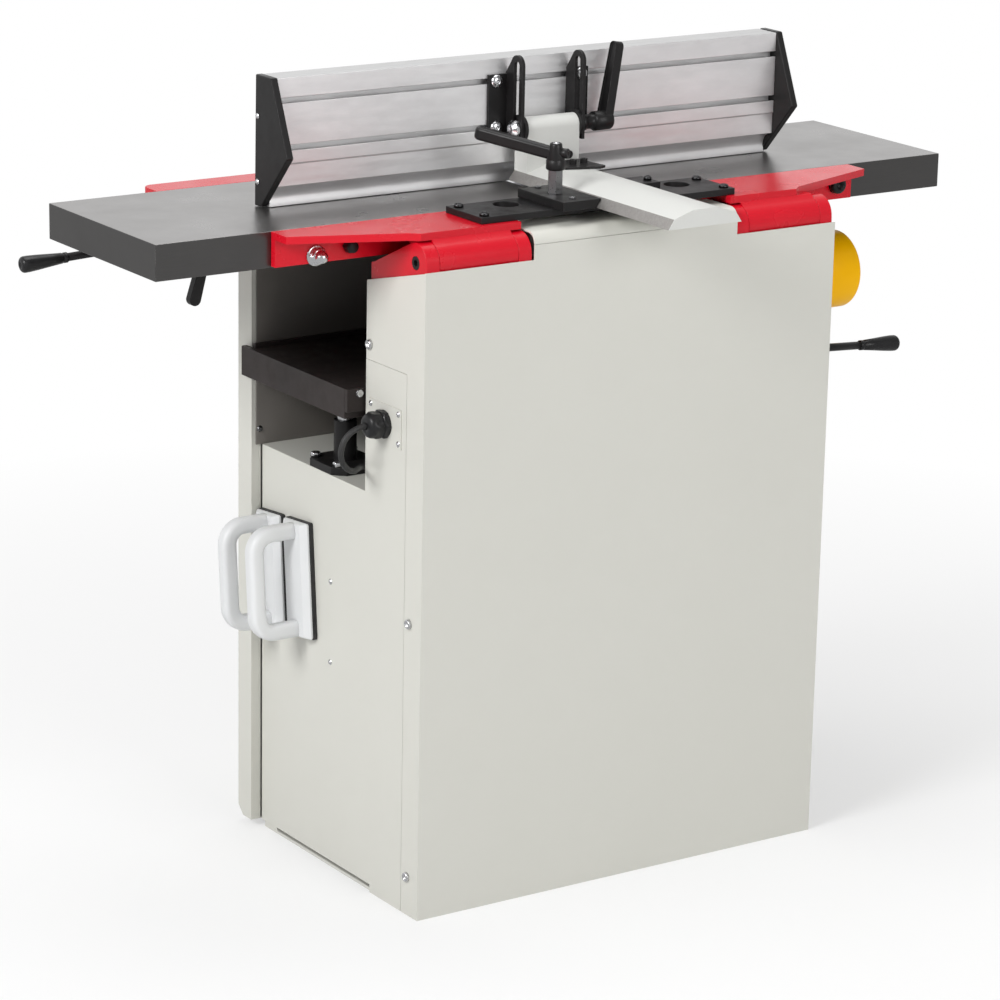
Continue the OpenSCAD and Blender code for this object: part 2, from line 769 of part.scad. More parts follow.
// Red hinge bracket: barrel, web, top flange and the flange against the table
module hinge_bracket(tip, set_in, knee) {
  plan = [[bracket_x - set_in, bracket_y], [bracket_x - set_in, hinge_y + 34], [bracket_x, hinge_y + 34],
    [bracket_x, hinge_y - 5], [knee - 10, hinge_y - 5], [knee, hinge_y + 4], [tip, table_y0 - 34],
    [tip, bracket_y]];
  web = [[hinge_y - 5, bracket_z + 1], [hinge_y - 12, hinge_z + barrel_r - 4], [hinge_y + 12, hinge_z],
    [hinge_y + 50, bracket_z - 8], [hinge_y + 50, bracket_z + 1]];
  difference() {
    union() {
      prism_z(plan, bracket_z, table_z);
      box([bracket_x, bracket_y - bracket_t, skirt_z + 2], [tip, bracket_y, bracket_z + 1]);
      prism_x(web, barrel_x, barrel_x + barrel_len);
      rod_x(barrel_r, barrel_x, barrel_x + barrel_len, hinge_y, hinge_z);
    }
    rod_x(pin_r + fit, barrel_x - 1, barrel_x + barrel_len + 1, hinge_y, hinge_z);
  }
}
module outfeed_bracket() color(red) hinge_bracket(outfeed_end - tip_set, 14, half_w - 35);
module infeed_bracket() color(red) mirror([1, 0, 0]) hinge_bracket(infeed_end - tip_set, -8, half_w + 3);

// Black plate that bridges both brackets and guides the fence bar
module bridge_plate() {
  jaw = [[flank_x(0), bar_z - 1], [flank_x(0), bar_z], [flank_x(clamp_t), bar_z + clamp_t],
    [bar_w / 2 + 22, bar_z + clamp_t], [bar_w / 2 + 22, bar_z - 1]];
  color(black) {
    difference() {
      box([bridge_mid - bridge_x, bridge_y0, table_z], [bridge_mid + bridge_x, bridge_y1, bar_z]);
      for (s = [-1, 1])
        rod_z(16, table_z - 1, bar_z + 1, bridge_mid / 2 + s * 124, bridge_y1 - 25);
    }
    prism_y(jaw, bridge_y0 + 30, bridge_y1 - 8);
  }
}

// Screws on the bridge plate and the bolts through the bracket flanges
bracket_face = bracket_y - bracket_t;
module table_screws() {
  color(black) {
    for (s = [-1, 1], y = [bridge_y0 + 10, bridge_y1 - 12])
      screw_z(bridge_mid + s * (bridge_x - 10), y, bar_z, 6, 4);
    screw_z(bar_w / 2 + 14, bridge_y0 + 46, bar_z + clamp_t, 5, 6);
    rod_y(8, bracket_face - 12, bracket_face, -infeed_end + 248, table_z - 25, $fn = 6);
    rod_y(11, bracket_face - 13, bracket_face, outfeed_end - tip_set - 25, table_z - 22);
  }
  color(steel)
    translate([-infeed_end + 204, bracket_face, table_z - 32]) rotate([90, 0, 0]) {
      cylinder(r = 13, h = 2);
      cylinder(r = 10, h = 11, $fn = 6);
      translate([0, 0, 11]) cylinder(r1 = 8.5, r2 = 5, h = 8);
    }
}

// Clamp block beside the bar, its hexagon stud and the clamp lever
module clamp_block() {
  outline = [[-bar_w / 2 - 47, bar_z], [-flank_x(0), bar_z], [-flank_x(clamp_t), bar_z + clamp_t],
    [-bar_w / 2 - 47, bar_z + clamp_t]];
  color(black)
    prism_y(outline, bridge_y0 - 18, bridge_y1 + 2);
}
module clamp_stud() {
  color("#4a4a4d") {
    rod_z(9.5, bar_z + clamp_t, stud_top, -clamp_x, clamp_y, $fn = 6);
    rod_z(5, stud_top, stud_top + 20, -clamp_x, clamp_y);
  }
  color(black)
    for (y = [-36, 36])
      screw_z(-clamp_x, clamp_y + y, bar_z + clamp_t, 4, 2);
}
module lever_arm(from, r1, r2, l, turn, rise) {
  translate(from) rotate([0, 90 - rise, turn]) cylinder(r1 = r1, r2 = r2, h = l);
}
module fence_clamp_lever() {
  hub_z = stud_top + play;
  color(black)
    difference() {
      union() {
        rod_z(11.5, hub_z, hub_z + 12, -clamp_x, clamp_y);
        translate([-clamp_x, clamp_y, hub_z + 12]) cylinder(r1 = 11, r2 = 7, h = 20);
        lever_arm([-clamp_x, clamp_y, hub_z + 18], 7.5, 8.5, 104, 125, 10);
      }
      rod_z(5 + fit, hub_z - 1, stud_top + 20.4, -clamp_x, clamp_y);
    }
}

// Red rail on the operator side of the infeed table, with the lug of the height lever
height_x = -infeed_end + 184;
height_z = 772;
module latch_rail() {
  x0 = -infeed_end + 144;
  x1 = -lip_end - 4;
  y0 = table_y1;
  width = 40;
  plan = concat([[x1, y0], [x1, y0 + width]], arc([x0 + 14, y0 + width - 14], 14, 90, 180, 6), [[x0, y0]]);
  color(red)
    difference() {
      union() {
        prism_z(plan, table_z - 8, table_z);
        box([x0, y0, skirt_z], [x1, y0 + 8, table_z]);
        box([height_x - 14, y0, height_z - 16], [height_x + 14, y0 + 8, table_z]);
      }
      rod_y(6 + fit, y0 - 1, y0 + 9, height_x, height_z);
    }
}
module height_lever() {
  y = table_y1 + 8 + play;
  color(black) {
    rod_y(6, table_y1 + 0.5, y + 14, height_x, height_z);
    rod_y(13, y, y + 14, height_x, height_z);
    lever_arm([height_x, y + 7, height_z], lever_r, lever_r, 158, 177, -3.6);
    lever_arm([height_x - 150, y + 15, height_z - 9.4], 6, 10, 60, 177, -3.6);
  }
}

// Sliding fence bar: dovetail with a ridge, and the upright that holds the fence
bar_y0 = back_y - bar_over;
bar_y1 = tilt_y + upright_r;
module fence_bar() {
  h = bar_w / 2;
  t = bar_top_w / 2;
  outline = [[-h, bar_z + play / 2], [h, bar_z + play / 2], [h - bar_flank, bar_z + bar_shoulder],
    [t, bar_z + bar_h], [-t, bar_z + bar_h], [-h + bar_flank, bar_z + bar_shoulder]];
  color(white)
    difference() {
      union() {
        prism_y(outline, bar_y0, bar_y1);
        box([fence_x - upright_w / 2, tilt_y - upright_r, bar_z + 4],
          [fence_x + upright_w / 2, tilt_y + upright_r, tilt_z]);
        rod_x(upright_r, fence_x - upright_w / 2, fence_x + upright_w / 2, tilt_y, tilt_z);
      }
      rod_x(bolt_r + fit, -upright_w, upright_w, tilt_y, tilt_z);
    }
}

// Thin guard plate on the bar with its two screws
module rear_guard() {
  y = tilt_y - upright_r - 1;
  z = bar_z + bar_h;
  plan = [[-15, y], [-15, y - 40], [26, y - 54], [36, y - 50], [30, y]];
  color(black) {
    prism_z(plan, z, z + 3);
    for (x = [4, 20])
      screw_z(x, y - 27, z + 3, 4.5, 6);
    rod_y(5, y - 4, y + 1, 15, tilt_z - 34);
  }
}

// Tilt bolt with its head and the friction discs beside the upright
module pivot_bolt() {
  translate([fence_x, 0, 0]) {
    color(steel) {
      rod_x(bolt_r, -web_x - web_t - play, web_x + web_t + 8, tilt_y, tilt_z);
      translate([-web_x - web_t - play, tilt_y, tilt_z]) rotate([0, -90, 0]) {
        cylinder(r = 11, h = 4);
        translate([0, 0, 4]) cylinder(r1 = 10.5, r2 = 6, h = 4);
      }
    }
    color(black)
      both_sides()
        difference() {
          rod_x(disc_r, upright_w / 2 + play / 2, web_x - play / 2, tilt_y, tilt_z);
          rod_x(bolt_r, 0, web_x + 1, tilt_y, tilt_z);
        }
  }
}
module tilt_lever() {
  x0 = web_x + web_t + play;
  color(black)
    translate([fence_x, 0, 0]) difference() {
      union() {
        rod_x(12, x0, x0 + 4, tilt_y, tilt_z);
        rod_x(9, x0 + 4, x0 + 20, tilt_y, tilt_z);
        rod_x(12, x0 + 20, x0 + 46, tilt_y, tilt_z);
        translate([x0 + 38, tilt_y, tilt_z]) rotate([0, 10, 0]) cylinder(r1 = 9, r2 = 6.5, h = 97);
      }
      rod_x(bolt_r + fit, x0 - 1, web_x + web_t + 8.4, tilt_y, tilt_z);
    }
}

// Slotted angle brackets that carry the fence on the tilt bolt
module slotted_brackets() {
  back = fence_back;
  top_r = 12.5;
  flange_w = 30;
  low = tilt_z - 18;
  shoulder = tslot_z[1] + 8;
  web = concat([[back, low], [back, shoulder]], arc([tilt_y, slot_high], top_r, 25, 180, 10),
    [[tilt_y - top_r, low]]);
  color(black)
    translate([fence_x, 0, 0]) both_sides()
      difference() {
        union() {
          prism_x(web, web_x, web_x + web_t);
          box([web_x, back - 4, tslot_z[0] - 15], [web_x + flange_w, back, shoulder]);
        }
        box([web_x - 1, tilt_y - bolt_r - 0.4, slot_low],
          [web_x + web_t + 1, tilt_y + bolt_r + 0.4, slot_high]);
        rod_x(bolt_r + 0.4, web_x - 1, web_x + web_t + 1, tilt_y, tilt_z);
        rod_x(bolt_r + 0.4, web_x - 1, web_x + web_t + 1, tilt_y, slot_high);
        for (z = tslot_z)
          rod_y(3.2, back - 6, back + 1, fence_bolt_x, z);
      }
}

// Aluminium fence profile with two T-slots in its back and a curved foot
module fence_profile() {
  step = fence_back + 1.5;
  lip = fence_back + 18;
  outline = concat([[fence_y, fence_z], [fence_y, fence_top], [fence_back, fence_top]],
    [[fence_back, fence_z + 54], [step, fence_z + 52.5], [step, fence_z + 27]],
    arc([step, fence_z + 9], 18, 90, 0, 8), [[lip, fence_z + 5.5], [lip, fence_z]]);
  color(alu)
    difference() {
      prism_x(outline, fence_x - fence_len / 2, fence_x + fence_len / 2);
      for (z = tslot_z) {
        box([fence_x - fence_len, fence_back - 1, z - tslot_w / 2],
          [fence_x + fence_len, fence_back + 4, z + tslot_w / 2]);
        box([fence_x - fence_len, fence_back + 3.9, z - tslot_w],
          [fence_x + fence_len, fence_back + tslot_d, z + tslot_w]);
      }
    }
}
module fence_end_plates() {
  outline = [[fence_y, fence_z], [fence_y - 2, fence_top + 1], [fence_back, fence_top + 1],
    [fence_back - 38, fence_z + 67], [fence_back + 22, fence_z + 1]];
  color(black)
    for (x = [fence_x - fence_len / 2 - end_t, fence_x + fence_len / 2]) {
      prism_x(outline, x, x + end_t);
    }
}

// T-bolts that hold the slotted brackets and the screws of the end plates
module fence_bolts() {
  color(steel) {
    translate([fence_x, 0, 0]) both_sides()
      for (z = tslot_z) {
        rod_y(8, fence_back - 10, fence_back - 4, fence_bolt_x, z, $fn = 32);
        rod_y(3, fence_back - 5, fence_back + 5, fence_bolt_x, z);
        box([fence_bolt_x - 8, fence_back + 4.3, z - tslot_w + 1.5],
          [fence_bolt_x + 8, fence_back + 9, z + tslot_w - 1.5]);
      }
    for (x = [fence_x - fence_len / 2 - end_t - 2, fence_x + fence_len / 2 + end_t])
      for (z = [fence_top - 126, fence_top - 48])
        rod_x(3.5, x, x + 2, fence_y - 7, z);
  }
}

// Thicknesser table: top plate, skirts, ribs and the bosses of its guides
module thicknesser_table() {
  x = thick_len / 2;
  y0 = thick_y0 + rail_t;
  y1 = thick_y1 - rail_t;
  color(brown) {
    difference() {
      box([-x, y0, thick_z - thick_t], [x, y1, thick_z]);
      difference() {
        box([-x + 10, y0 + 10, thick_z - thick_t - 1], [x - 10, y1 - 10, thick_under]);
        for (i = [-1, 1])
          box([i * 120 - 4, y0, thick_z - thick_t + 6], [i * 120 + 4, y1, thick_z]);
      }
    }
    both_sides()
      box([x - end_plate_t, y1 - 1, thick_z - thick_t], [x, thick_y1 + 14, thick_z]);
  }
}
module table_side_rails() {
  x = thick_len / 2;
  x1 = x - end_plate_t - play;
  color(black) {
    box([-x, thick_y0, thick_z - 28], [x, thick_y0 + rail_t, thick_z]);
    box([-x1, thick_y1 - rail_t, thick_z - 28], [x1, thick_y1, thick_z + rail_rise]);
  }
  color(steel)
    for (s = [-1, 1])
      rod_y(4.5, thick_y0 - 2, thick_y0, s * (x - 17), thick_z - 6);
}

// Guide rods and the nut sleeve under the thicknesser table
nut_r = screw_r + 7;
nut_z = shelf_z + 40;
module guide_rods() {
  color(steel) {
    both_sides() {
      rod_z(rod_r, nut_z, thick_under, column_x, column_y);
      rod_z(rod_r + 8, thick_under - 8, thick_under, column_x, column_y);
    }
    difference() {
      rod_z(nut_r, nut_z, thick_under, 0, thick_mid);
      rod_z(screw_r + fit, nut_z - 1, thick_under - 0.5, 0, thick_mid);
    }
  }
}

// Lifting screw with its bevel gear below the bay floor
gear_r = 24;
gear_in = 13;
module bevel_gear() cylinder(r1 = gear_r - 0.4, r2 = gear_in - 0.4, h = gear_r - gear_in);
module lifting_screw() {
  color(steel) {
    rod_z(screw_r, wheel_z - gear_r - 6, nut_z + 25, 0, thick_mid);
    rod_z(screw_r + 7, shelf_z + play, shelf_z + 4, 0, thick_mid);
    translate([0, thick_mid, wheel_z - gear_r]) bevel_gear();
  }
}

// Handwheel with its shaft, bevel gear, spokes, rim and crank grip
module handwheel() {
  wheel_y = front_y + 20;
  color(steel) {
    rod_y(shaft_r, thick_mid + gear_in + 1, wheel_y + 8, 0, wheel_z);
    translate([0, thick_mid + gear_r, wheel_z]) rotate([90, 0, 0]) bevel_gear();
  }
  color(black) {
    rod_y(17, front_y + 1.5, wheel_y + 10, 0, wheel_z);
    for (i = [0 : 2])
      translate([0, wheel_y, wheel_z]) rotate([0, i * 120 + 30, 0]) rod_x(6, 12, wheel_r - 2, 0, 0);
    translate([0, wheel_y, wheel_z]) rotate([90, 0, 0]) rotate_extrude() translate([wheel_r, 0])
      circle(r = 9, $fn = 24);
    rod_y(5, wheel_y, wheel_y + 16, 0, wheel_z + wheel_r);
    rod_y(10, wheel_y + 16, wheel_y + 62, 0, wheel_z + wheel_r);
  }
}

// Dust hood on the thicknesser table: a box open below the cutterblock, and its round port
module dust_hood() {
  z0 = thick_z + 0.3;
  color(black)
    difference() {
      box([hood_x0, hood_y0, z0], [hood_x1, hood_y1, hood_top]);
      box([hood_x0 + hood_t, hood_y0 + hood_t, z0 + hood_t],
        [hood_x1 - hood_t, hood_y1 - hood_t, hood_top - hood_t]);
      box([-70, hood_y0 + hood_t, hood_top - hood_t - 1], [70, hood_y1 - hood_t, hood_top + 1]);
      rod_x(port_r - hood_t, hood_x1 - hood_t - 1, hood_x1 + 1, port_y, port_z);
    }
}
module dust_port() {
  color("#f2b705")
    translate([hood_x1, port_y, port_z]) rotate([0, 90, 0])
      difference() {
        cylinder(r = port_r, h = port_x - hood_x1);
        translate([0, 0, -1]) cylinder(r = port_r - hood_t, h = port_x);
      }
}

// Cutterblock with three knife slots, its journals and its pulley
cut_y0 = bay_y + 2;
cut_y1 = wall_y - 2;
slot_r = 22;
module knife_slot() box([-3.2, cut_y0 - 1, slot_r], [9.2, cut_y1 + 1, cutter_r + 5]);
module cutterblock() {
  color(steel)
    difference() {
      union() {
        rod_y(block_r, cut_y0, cut_y1, 0, cutter_z);
        rod_y(journal_r, pulley_y0 - 6, wall_y + 20, 0, cutter_z);
      }
      for (i = [0 : 2])
        translate([0, 0, cutter_z]) rotate([0, i * 120, 0]) knife_slot();
    }
  color("#77797d")
    difference() {
      rod_y(cutter_pulley_r, pulley_y0, pulley_y1, 0, cutter_z);
      rod_y(journal_r, pulley_y0 - 1, pulley_y1 + 1, 0, cutter_z);
    }
}
module cutter_knives() {
  color("#c9ccd0")
    for (i = [0 : 2])
      translate([0, 0, cutter_z]) rotate([0, i * 120, 0]) {
        box([-3, cut_y0, slot_r + 0.2], [0, cut_y1, cutter_r - 0.3]);
        box([0.2, cut_y0, slot_r + 0.2], [9, cut_y1, block_r - 3]);
      }
}
module motor_pulley() {
  color("#77797d") {
    rod_y(9.5, pulley_y0 - 4, motor_y0 + 55, 0, motor_z);
    difference() {
      rod_y(motor_pulley_r, pulley_y0, pulley_y1, 0, motor_z);
      rod_y(9.5, pulley_y0 - 1, pulley_y1 + 1, 0, motor_z);
    }
  }
}

// Feed rollers: a ribbed one on the infeed side of the thicknesser and a plain one
module feed_roller(x) {
  rod_y(roller_r, cut_y0 + 1, cut_y1 - 1, x, roller_z);
  rod_y(8, bay_y - 26, wall_y + 20, x, roller_z);
}
module infeed_roller() {
  n = 18;
  color(steel)
    difference() {
      feed_roller(roller_x);
      for (i = [0 : n - 1])
        translate([roller_x, 0, roller_z]) rotate([0, i * 360 / n, 0])
          box([-1, cut_y0, roller_r - 1.5], [1, cut_y1, roller_r + 1]);
    }
}
module outfeed_roller() color(steel) feed_roller(-roller_x);

// Feed lever with its tapered grip
module feed_lever() {
  color(black)
    difference() {
      union() {
        rod_y(12, lever_y - 10 + play, lever_y + 9, lever_x, lever_z);
        lever_arm([lever_x, lever_y, lever_z], lever_r, lever_r, 130, 0, -3.6);
        lever_arm([lever_x + 123.7, lever_y, lever_z - 7.8], 6, 10, 60, 0, -3.6);
      }
      rod_y(5 + fit, lever_y - 20, lever_y + 20, lever_x, lever_z);
    }
}

// Push block: rubber sole, plate and a D-shaped handle, laid against the side panel
block_step = block_w + 9.5;
block_y = back_y + body_d + 0.5 - block_step - block_w / 2;
block_top = 432;
module push_block(shift) {
  sole = 6;
  plate = 9;
  bar = 20;
  r = 32;
  end = 2;
  half = block_w / 2 - 0.5;
  reach = block_reach;
  translate([-half_w, block_y, block_top]) rotate([-block_lean, 0, 0]) translate([0, shift, 0]) {
    color(black) box([-sole, -block_w / 2, -block_l], [0, block_w / 2, 0]);
    color(white) {
      prism_z([[-sole, -half], [-sole - 3, -half], [-sole - plate, 9 - half], [-sole - plate, half - 9],
        [-sole - 3, half], [-sole, half]], -block_l + 1, -1);
      difference() {
        union() {
          box([-reach + r, -bar / 2, -block_l + end], [-sole - 1, bar / 2, -end]);
          box([-reach, -bar / 2, -block_l + end + r], [-sole - 1, bar / 2, -end - r]);
          for (z = [-end - r, -block_l + end + r])
            rod_y(r, -bar / 2, bar / 2, -reach + r, z);
        }
        box([-reach + bar + 14, -bar, -block_l + end + bar], [-sole - plate, bar, -end - bar]);
        box([-reach + bar, -bar, -block_l + end + bar + 14], [-sole - plate, bar, -end - bar - 14]);
        for (z = [-end - bar - 14, -block_l + end + bar + 14])
          rod_y(14, -bar, bar, -reach + bar + 14, z);
      }
    }
  }
}
module near_push_block() push_block(0);
module far_push_block() push_block(block_step);

base_frame();
rear_panel();
left_side_panel();
right_side_panel();
front_cover();
shelf_plate();
bay_walls();
centre_cover();
bed_castings();
hinge_ears();
hinge_pins();
cutter_bearings();
motor();
drive_belt();
guide_columns();
cable_gland();
mains_cord();
cord_coil();
plug();
switch_box();
panel_screws();
kickback_shaft();
outfeed_table();
outfeed_bracket();
infeed_bracket();
bridge_plate();
table_screws();
clamp_block();
clamp_stud();
latch_rail();
infeed_table();
infeed_lock_lever();
height_lever();
fence_bar();
rear_guard();
fence_clamp_lever();
pivot_bolt();
tilt_lever();
slotted_brackets();
fence_profile();
fence_end_plates();
fence_bolts();
thicknesser_table();
table_side_rails();
guide_rods();
lifting_screw();
handwheel();
dust_hood();
dust_port();
cutterblock();
cutter_knives();
motor_pulley();
infeed_roller();
outfeed_roller();
kickback_fingers();
feed_lever();
start_button();
stop_button();
near_push_block();
far_push_block();
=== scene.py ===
"""Looks of a planer thicknesser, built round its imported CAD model. Metres, in the CAD's frame."""

import json
import math

import bmesh
import bpy
from mathutils import Matrix, Vector


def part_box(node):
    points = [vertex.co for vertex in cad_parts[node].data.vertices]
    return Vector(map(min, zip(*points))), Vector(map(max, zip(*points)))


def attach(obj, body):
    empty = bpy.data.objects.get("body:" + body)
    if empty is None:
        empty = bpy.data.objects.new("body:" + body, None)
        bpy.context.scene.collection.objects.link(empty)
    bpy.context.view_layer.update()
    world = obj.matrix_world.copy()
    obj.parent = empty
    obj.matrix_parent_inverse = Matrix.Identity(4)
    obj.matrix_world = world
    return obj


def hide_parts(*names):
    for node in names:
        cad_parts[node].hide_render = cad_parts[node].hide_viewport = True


MM = 0.001
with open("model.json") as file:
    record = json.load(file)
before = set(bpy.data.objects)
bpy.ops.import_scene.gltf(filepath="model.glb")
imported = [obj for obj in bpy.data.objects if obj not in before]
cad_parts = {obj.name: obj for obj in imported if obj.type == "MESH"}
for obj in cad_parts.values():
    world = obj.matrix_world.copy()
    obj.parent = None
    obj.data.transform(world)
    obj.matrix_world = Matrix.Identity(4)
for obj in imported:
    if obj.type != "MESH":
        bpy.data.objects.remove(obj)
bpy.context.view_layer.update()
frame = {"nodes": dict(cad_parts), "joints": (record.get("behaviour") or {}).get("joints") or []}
NODES = frame["nodes"]
PIVOT = {j["name"]: Vector(j["pos_m"]) for j in frame["joints"] if "pos_m" in j}
X, Y, Z = Vector((1, 0, 0)), Vector((0, 1, 0)), Vector((0, 0, 1))


def mm(*values):
    """A point given in millimetres."""
    return Vector(values) * MM


# Camera: place, aim and roll of the photograph's viewpoint
CAMERA_AT = mm(-2585, -3770, 1758)
CAMERA_AIM = mm(-54.6, -2, 440.2)
CAMERA_ROLL = math.radians(1.14)
CAMERA_LENS = 137.0


def make_camera():
    data = bpy.data.cameras.new("camera")
    data.lens = CAMERA_LENS
    data.clip_end = 100
    camera = bpy.data.objects.new("camera", data)
    bpy.context.scene.collection.objects.link(camera)
    forward = (CAMERA_AIM - CAMERA_AT).normalized()
    turn = forward.to_track_quat("-Z", "Y").to_matrix().to_4x4()
    camera.matrix_world = Matrix.Translation(CAMERA_AT) @ turn @ Matrix.Rotation(CAMERA_ROLL, 4, "Z")
    bpy.context.scene.camera = camera


# Meshes


def new_object(name, bm):
    """An object made from a bmesh, with smooth faces."""
    bmesh.ops.remove_doubles(bm, verts=bm.verts, dist=1e-7)
    bmesh.ops.recalc_face_normals(bm, faces=bm.faces)
    mesh = bpy.data.meshes.new(name)
    bm.to_mesh(mesh)
    bm.free()
    mesh.shade_smooth()
    obj = bpy.data.objects.new(name, mesh)
    bpy.context.scene.collection.objects.link(obj)
    return obj


def bevel(obj, width, segments=2, angle=32):
    """Rounds an object's edges. A CAD mesh is welded first and its flat triangles are merged."""
    weld = obj.modifiers.new("weld", "WELD")
    weld.merge_threshold = 0.00001
    merge = obj.modifiers.new("merge", "DECIMATE")
    merge.decimate_type = "DISSOLVE"
    merge.angle_limit = math.radians(0.4)
    rounding = obj.modifiers.new("rounding", "BEVEL")
    rounding.width = width * MM
    rounding.segments = segments
    rounding.limit_method = "ANGLE"
    rounding.angle_limit = math.radians(angle)
    rounding.harden_normals = True
    rounding.miter_outer = "MITER_ARC"
    return obj


def frame_along(start, direction, up=Z):
    """A matrix whose Z axis runs along the direction from the start point."""
    d = direction.normalized()
    side = up.cross(d)
    if side.length < 1e-6:
        side = X.cross(d)
    side.normalize()
    turn = Matrix((side, d.cross(side), d)).transposed().to_4x4()
    return Matrix.Translation(start) @ turn


def polygon_radius(radius, sides, angle):
    """Distance to the edge of a regular polygon whose corners lie at the radius."""
    step = 2 * math.pi / sides
    return radius * math.cos(step / 2) / math.cos(angle % step - step / 2)


def lathe(name, profile, start, direction, segments=48):
    """A turned solid. Each entry is (distance, radius) in mm, with a third number for a polygon's sides."""
    bm = bmesh.new()
    place = frame_along(start, direction)
    rings = []
    for along, radius, *sides in profile:
        if radius == 0:
            rings.append([bm.verts.new(place @ mm(0, 0, along))])
            continue
        ring = []
        for k in range(segments):
            a = 2 * math.pi * k / segments
            r = polygon_radius(radius, sides[0], a) if sides else radius
            ring.append(bm.verts.new(place @ mm(r * math.cos(a), r * math.sin(a), along)))
        rings.append(ring)
    for low, high in zip(rings, rings[1:]):
        for k in range(segments):
            corners = [low[k % len(low)], low[(k + 1) % segments % len(low)]]
            corners += [high[(k + 1) % segments % len(high)], high[k % len(high)]]
            bm.faces.new(list(dict.fromkeys(corners)))
    return new_object(name, bm)


def arc_profile(centre, radius, start, end, steps=6):
    """Points of an arc in a profile, with angles in degrees."""
    points = []
    for i in range(steps + 1):
        a = math.radians(start + (end - start) * i / steps)
        points.append((centre[0] + radius * math.cos(a), centre[1] + radius * math.sin(a)))
    return points


def rounded_section(width, height, corner, steps=4):
    """Outline of a rectangle with round corners, in mm."""
    w, h = width / 2 - corner, height / 2 - corner
    points = []
    for cx, cy, start in ((w, h, 0), (-w, h, 90), (-w, -h, 180), (w, -h, 270)):
        points += arc_profile((cx, cy), corner, start, start + 90, steps)
    return points


def sweep(name, path, sections, up):
    """Sections carried along a path of points, one section for all points or one for each."""
    bm = bmesh.new()
    rings = []
    for i, p in enumerate(path):
        ahead = path[min(i + 1, len(path) - 1)]
        behind = path[max(i - 1, 0)]
        place = frame_along(p, ahead - behind, up)
        section = sections[i] if isinstance(sections[0][0], tuple) else sections
        rings.append([bm.verts.new(place @ mm(a, b, 0)) for a, b in section])
    n = len(rings[0])
    for low, high in zip(rings, rings[1:]):
        for k in range(n):
            bm.faces.new((low[k], low[(k + 1) % n], high[(k + 1) % n], high[k]))
    bm.faces.new(rings[0])
    bm.faces.new(rings[-1])
    return new_object(name, bm)


def join(name, *parts):
    """Several made objects as one, each with its own materials."""
    bpy.context.view_layer.update()
    slots, bm = [], bmesh.new()
    for part in parts:
        mesh = part.data
        mesh.transform(part.matrix_world)
        first = len(bm.faces)
        bm.from_mesh(mesh)
        bm.faces.ensure_lookup_table()
        for face in bm.faces[first:]:
            material = mesh.materials[face.material_index]
            if material not in slots:
                slots.append(material)
            face.material_index = slots.index(material)
        bpy.data.objects.remove(part)
    obj = new_object(name, bm)
    for material in slots:
        obj.data.materials.append(material)
    return obj


def dress(obj, material, body, slot, *replaced):
    """Gives a made piece its material, its body and the CAD nodes it stands for; the record slot is not used.
    """
    if material is not None:
        obj.data.materials.append(material)
    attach(obj, body)
    if replaced:
        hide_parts(*replaced)
    return obj


def coat(obj, material):
    obj.data.materials.append(material)
    return obj


# Materials
# Range of the bent normal that counts as an edge, and of the noise that breaks the wear up
EDGE_BEND = (0.86, 0.985)
EDGE_BREAK = (0.42, 0.62)


def map_range(tree, value, start, end, low, high):
    """A node that moves the value from the range start to end into low to high."""
    made = tree.nodes.new("ShaderNodeMapRange")
    for socket, number in (("From Min", start), ("From Max", end), ("To Min", low), ("To Max", high)):
        made.inputs[socket].default_value = number
    tree.links.new(value, made.inputs["Value"])
    return made.outputs["Result"]


